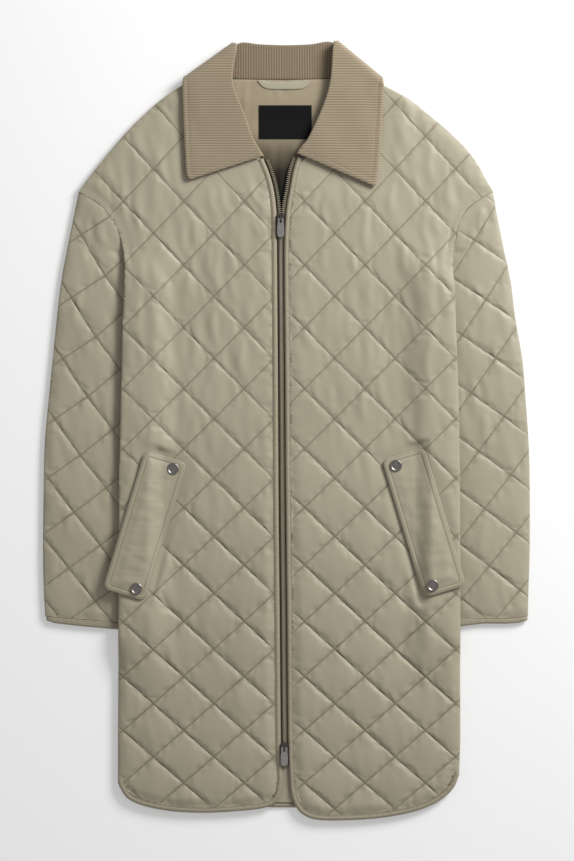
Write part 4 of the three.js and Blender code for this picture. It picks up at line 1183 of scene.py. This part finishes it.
STAND = np.array([  # left neck x, y, z, left roll x, y, z, right neck x, y, right roll x, y
    (-50, 350, 9.4, -37, 358, 10.6, 38, 351, 22, 360),
    (-63, 358, 9.4, -45, 372, 11.8, 52, 358, 31.5, 372),
    (-80, 386, 9.6, -56, 402, 13.2, 72, 386, 45.5, 402),
    (-87.5, 419, 11.6, -68, 438, 14.2, 84, 420, 56, 438),
])
STAND_FOLD = {"left": ((-90, 451), (-79.5, 465)), "right": ((86, 452), (71, 468))}
STAND_TURN = ((3, 13.6, 0), (0.4, 11.6, 0), (0.2, 7.4, 0), (2.6, 4.9, 0))
STAND_BACK = ((-68, 441, -60.5, 485), (-35, 439.7, -33, 484), (-3, 439.5, -3, 483),
              (30, 439.9, 29, 484), (58, 441.4, 57.5, 486.5))


def section_ends(rows, side):
    """The two ends of each section on one side."""
    if side == "left":
        return [(r[0:3], r[3:6]) for r in rows]
    return [((r[6], r[7], r[2]), (r[8], r[9], r[5])) for r in rows]


def turned_ends(turns, fold, inward):
    (ax, ay), (bx, by) = fold
    length = math.hypot(bx - ax, by - ay)
    sx, sy = -(by - ay) / length * inward, (bx - ax) / length * inward
    return [((ax + sx * d, ay + sy * d, z), (bx + inward * inset, by - 1.2 * d, z))
            for d, z, inset in turns]


def collar_ends(rows, turns, fold, back, rest, inward):
    flat = [((r[0], r[1], rest), (r[2], r[3], rest)) for r in back]
    ends = section_ends(rows, "left") + turned_ends(turns, fold["left"], inward) + flat
    ends += turned_ends(turns, fold["right"], -inward)[::-1] + section_ends(rows, "right")[::-1]
    return np.array([np.concatenate(e) for e in ends], float)


COLLAR_STITCHES = 7  # from the fall's edge


def collar_wall(name, ends, thickness, columns, crown, material, node):
    """A double layer of cloth about ruled sections, with rounded rims and a seam groove for a row of edge
    stitches.
    """
    smooth_ends = curved(ends, 7)
    t = np.linspace(0, 1, columns)
    start, stop = smooth_ends[:, None, :3], smooth_ends[:, None, 3:]
    middle = start + (stop - start) * t[None, :, None]
    along = np.gradient(middle, axis=0)
    across = np.gradient(middle, axis=1)
    normal = np.cross(along, across)
    normal /= np.linalg.norm(normal, axis=-1)[..., None]
    width = np.linalg.norm(stop - start, axis=-1)
    to_edge, to_roll = width * (1 - t), width * t
    run = np.cumsum(np.linalg.norm(along, axis=-1), axis=0)
    to_end = np.minimum(run - run[0], run[-1] - run)
    from_rim = np.minimum(to_edge, to_end)
    rim = np.minimum(bulge((from_rim + 0.15) / 1.8), bulge((to_roll + 0.4) / 2.4))
    half = thickness / 2 * np.maximum(rim, 0.12)
    seam = 0.35 * hump(from_rim - COLLAR_STITCHES, 1.1)
    swell = crown * hump(from_rim - 3.4, 2.2)
    soft = 0.45 * noise(middle[..., 0], middle[..., 1], 46, 12) * smooth(from_rim / 20)
    outer = middle + normal * (half + swell - seam)[..., None]
    inner = middle - normal * half[..., None]
    outer[..., 2] += soft * smooth((middle[..., 2] - 9) / 4)
    outer[..., 2] = np.maximum(outer[..., 2], 0.05)
    inner[..., 2] = np.maximum(inner[..., 2], 0.05)
    faces = quads(len(smooth_ends), columns)
    wall = closed(outer.reshape(-1, 3), inner.reshape(-1, 3), faces)
    return build(name, *wall, material, "corduroy", node), outer, from_rim


def make_collar():
    fall_ends = collar_ends(FALL, FALL_TURN, FALL_FOLD, FALL_BACK, 1.4, 1)
    fall, outer, from_rim = collar_wall("collar_fall_cloth", fall_ends, 2.8, 56, 0.25, fall_corduroy,
                                        "collar_fall")
    lines = []
    for rows in (range(0, 36), range(len(outer) - 36, len(outer))):
        line = []
        for j in rows:
            nearest = np.argmin(np.abs(from_rim[j] - COLLAR_STITCHES))
            if abs(from_rim[j, nearest] - COLLAR_STITCHES) < 1.6:
                line.append(outer[j, nearest] + (0, 0, 0.15))
        lines.append(np.array(line))
    for j in (4, len(outer) - 5):
        lines.append(outer[j, 3:-4] + (0, 0, 0.15))
    sew("collar_stitches", lines, "corduroy")
    stand_ends = collar_ends(STAND, STAND_TURN, STAND_FOLD, STAND_BACK, 4.9, -1)
    stand, _, _ = collar_wall("collar_stand_cloth", stand_ends, 2.6, 22, 0.0, stand_corduroy,
                              "collar_stand")


# Pocket flaps and their snaps
FLAP_RISE = FRONT_WALL + 0.3 + 2.2
FLAP_WALL = 2.4
FLAP_STITCHES = (1.8, 6.2)  # from the flap's edge


def flap_place(side, u, v):
    turn = SIGN[side] * FLAP["slant"]
    x, y = FLAP_CENTRE[side]
    return (x + u * math.cos(turn) - v * math.sin(turn), y + u * math.sin(turn) + v * math.cos(turn))


def flap_top(side, u, v):
    x, y = flap_place(side, u, v)
    edge = rounded_inset(u, v)
    seams = sum(hump(edge - d, 0.8) for d in FLAP_STITCHES)
    swell = 1.3 * smooth((edge - 6) / 13)
    soft = (0.5 * noise(x, y, 24, 41) + 0.35 * noise(u * 0.4, v, 13, 43)) * smooth((edge - 6) / 8)
    full = bulge((edge + 0.3) / 2.2)
    return front_under(x, y) + FLAP_RISE + FLAP_WALL * full - 0.55 * seams + swell + soft


def rounded_inset(u, v):
    """Distance from a point of the flap to its rounded outline."""
    a = np.abs(u) - FLAP["width"] / 2 + FLAP["corner"]
    b = np.abs(v) - FLAP["length"] / 2 + FLAP["corner"]
    outside = np.hypot(np.maximum(a, 0), np.maximum(b, 0))
    return FLAP["corner"] - outside - np.minimum(np.maximum(a, b), 0)


def make_flap(side):
    rows, columns = 121, 41
    half_length, half_width = FLAP["length"] / 2, FLAP["width"] / 2
    share = np.linspace(-1, 1, rows)
    v = half_length * np.sign(share) * (1 - (1 - np.abs(share)) ** 1.25)
    inset = np.maximum(FLAP["corner"] - (half_length - np.abs(v)), 0)
    reach = half_width - FLAP["corner"] + np.sqrt(np.maximum(FLAP["corner"] ** 2 - inset**2, 0.01))
    t = np.linspace(-1, 1, columns)
    t = np.sign(t) * (1 - (1 - np.abs(t)) ** 1.25)
    u = reach[:, None] * t
    v = np.repeat(v[:, None], columns, axis=1)
    x, y = flap_place(side, u, v)
    edge = rounded_inset(u, v).reshape(-1)
    # Painted shade along the flap's rows of stitches.
    groove_shade = 0.6 * sum(hump(edge - d, 0.7) for d in FLAP_STITCHES)
    made = build("flap_" + side + "_cloth",
                 *wall(x, y, flap_top(side, u, v), front_under(x, y) + FLAP_RISE), quilt_cloth,
                 "quilt_cloth", "pocket_flap_" + side, groove_shade=np.concatenate([groove_shade, 0 * groove_shade]))
    lines = []
    for distance in FLAP_STITCHES:
        corner = FLAP["corner"] - distance
        w, h = half_width - FLAP["corner"], half_length - FLAP["corner"]
        ring = []
        for cx, cy, start in ((w, h, 0), (-w, h, 90), (-w, -h, 180), (w, -h, 270)):
            for angle in np.radians(np.linspace(start, start + 90, 8)):
                ring.append((cx + corner * math.cos(angle), cy + corner * math.sin(angle)))
        ring = even(np.array(ring + ring[:1]), 2)
        a, b = flap_place(side, ring[:, 0], ring[:, 1])
        lines.append(np.column_stack([a, b, flap_top(side, ring[:, 0], ring[:, 1]) + 0.1]))
    sew("flap_" + side + "_stitches", lines, "quilt_cloth")
    for name, end in (("upper", 1), ("lower", -1)):
        make_snap(side, name, -SIGN[side] * 12.5, end * 78)


def make_snap(side, name, u, v):
    x, y = flap_place(side, u, v)
    base = float(front_under(x, y)) + FLAP_RISE + FLAP_WALL
    profile = curved([(0, 1.35), (2.5, 1.25), (4.6, 1.3), (5.4, 1.9), (6.3, 2.25), (7.1, 1.9), (7.5, 1.0),
                      (7.4, -0.6)], 5)
    angles = np.radians(np.arange(0, 360, 6))
    rings = [np.stack([x + r * np.cos(angles), y + r * np.sin(angles), base + z + 0 * angles], axis=-1)
             for r, z in profile[1:]]
    points = np.vstack([[(x, y, base + profile[0][1])]] + rings)
    count = len(angles)
    faces = [(0, 1 + k, 1 + (k + 1) % count) for k in range(count)]
    for ring in range(len(rings) - 1):
        for k in range(count):
            a, b = 1 + ring * count + k, 1 + ring * count + (k + 1) % count
            faces.append((a, a + count, b + count, b))
    faces.append(tuple(1 + (len(rings) - 1) * count + k for k in range(count))[::-1])
    build("snap_" + side + "_" + name + "_cap", points, faces, gunmetal, "gunmetal",
          "snap_" + side + "_" + name, sharp=50)


def finish_metal(node, metal):
    """A metal part keeps its own solid and gets rounded edges and its finish."""
    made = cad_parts[node]
    made.data.materials.clear()
    made.data.materials.append(metal)
    edge = made.modifiers.new("edge", "BEVEL")
    edge.width = 0.0003
    edge.segments = 3
    edge.limit_method = "ANGLE"
    edge.harden_normals = True


for side in SIDES:
    make_front(side)
    make_sleeve(side)
    binding = "front_binding_" + side
    make_binding(binding + "_cloth", to_side(side), side, front_under, 0, 5 + SIGN[side], binding)
    make_cuff(side)
    make_tape(side)
    make_teeth(side)
    make_flap(side)
make_back()
make_binding("back_hem_cloth", back_hem, "right", back_under, 0.3, 9, "back_hem_binding")
make_lining()
make_label()
make_loop()
make_collar()
for end in ("top", "bottom"):
    finish_metal("slider_" + end, dark_metal)
    finish_metal("pull_tab_" + end, bright_metal)

# Camera, lights and the surface
PHOTO_MM_PER_PIXEL = 1.25
PHOTO_SIZE = (574, 861)
CAMERA = (0.0006, 0.0003, 3.2)
FOCUS_HEIGHT = 0.012
SENSOR = 36.0
SURFACE_DROP = 0.0002
SURFACE_GLOW = 0.28
WORLD_LIGHT = 0.42
KEY_LIGHT = {"place": (1.45, 1.35, 1.25), "aim": (0, 0.1, 0), "size": (0.9, 0.9), "power": 70}


def make_camera():
    camera = bpy.data.cameras.new("camera")
    camera.sensor_fit = "VERTICAL"
    camera.sensor_height = SENSOR
    seen = PHOTO_SIZE[1] * PHOTO_MM_PER_PIXEL * 0.001
    camera.lens = SENSOR * (CAMERA[2] - FOCUS_HEIGHT) / seen
    made = bpy.data.objects.new("camera", camera)
    made.location = CAMERA
    bpy.context.collection.objects.link(made)
    bpy.context.scene.camera = made


def make_light(name, place, aim, size, power):
    light = bpy.data.lights.new(name, "AREA")
    light.shape = "RECTANGLE"
    light.size, light.size_y = size
    light.energy = power
    made = bpy.data.objects.new(name, light)
    made.location = place
    made.rotation_euler = (Vector(aim) - Vector(place)).to_track_quat("-Z", "Y").to_euler()
    bpy.context.collection.objects.link(made)


def make_studio():
    bm = bmesh.new()
    bmesh.ops.create_grid(bm, x_segments=8, y_segments=8, size=3.0)
    mesh = bpy.data.meshes.new("surface")
    bm.to_mesh(mesh)
    bm.free()
    floor = bpy.data.objects.new("surface", mesh)
    floor.location.z = -SURFACE_DROP
    bpy.context.collection.objects.link(floor)
    white, _, shader = new_material("white surface", (0.6, 0.6, 0.6), 0.9)
    shader.inputs["Emission Color"].default_value = (1, 1, 1, 1)
    shader.inputs["Emission Strength"].default_value = SURFACE_GLOW
    mesh.materials.append(white)
    world = bpy.data.worlds.new("soft white")
    world.use_nodes = True
    world.node_tree.nodes["Background"].inputs["Color"].default_value = (1, 1, 1, 1)
    world.node_tree.nodes["Background"].inputs["Strength"].default_value = WORLD_LIGHT
    bpy.context.scene.world = world
    make_light("key", **KEY_LIGHT)


make_camera()
make_studio()
bpy.context.scene.view_settings.view_transform = "Standard"
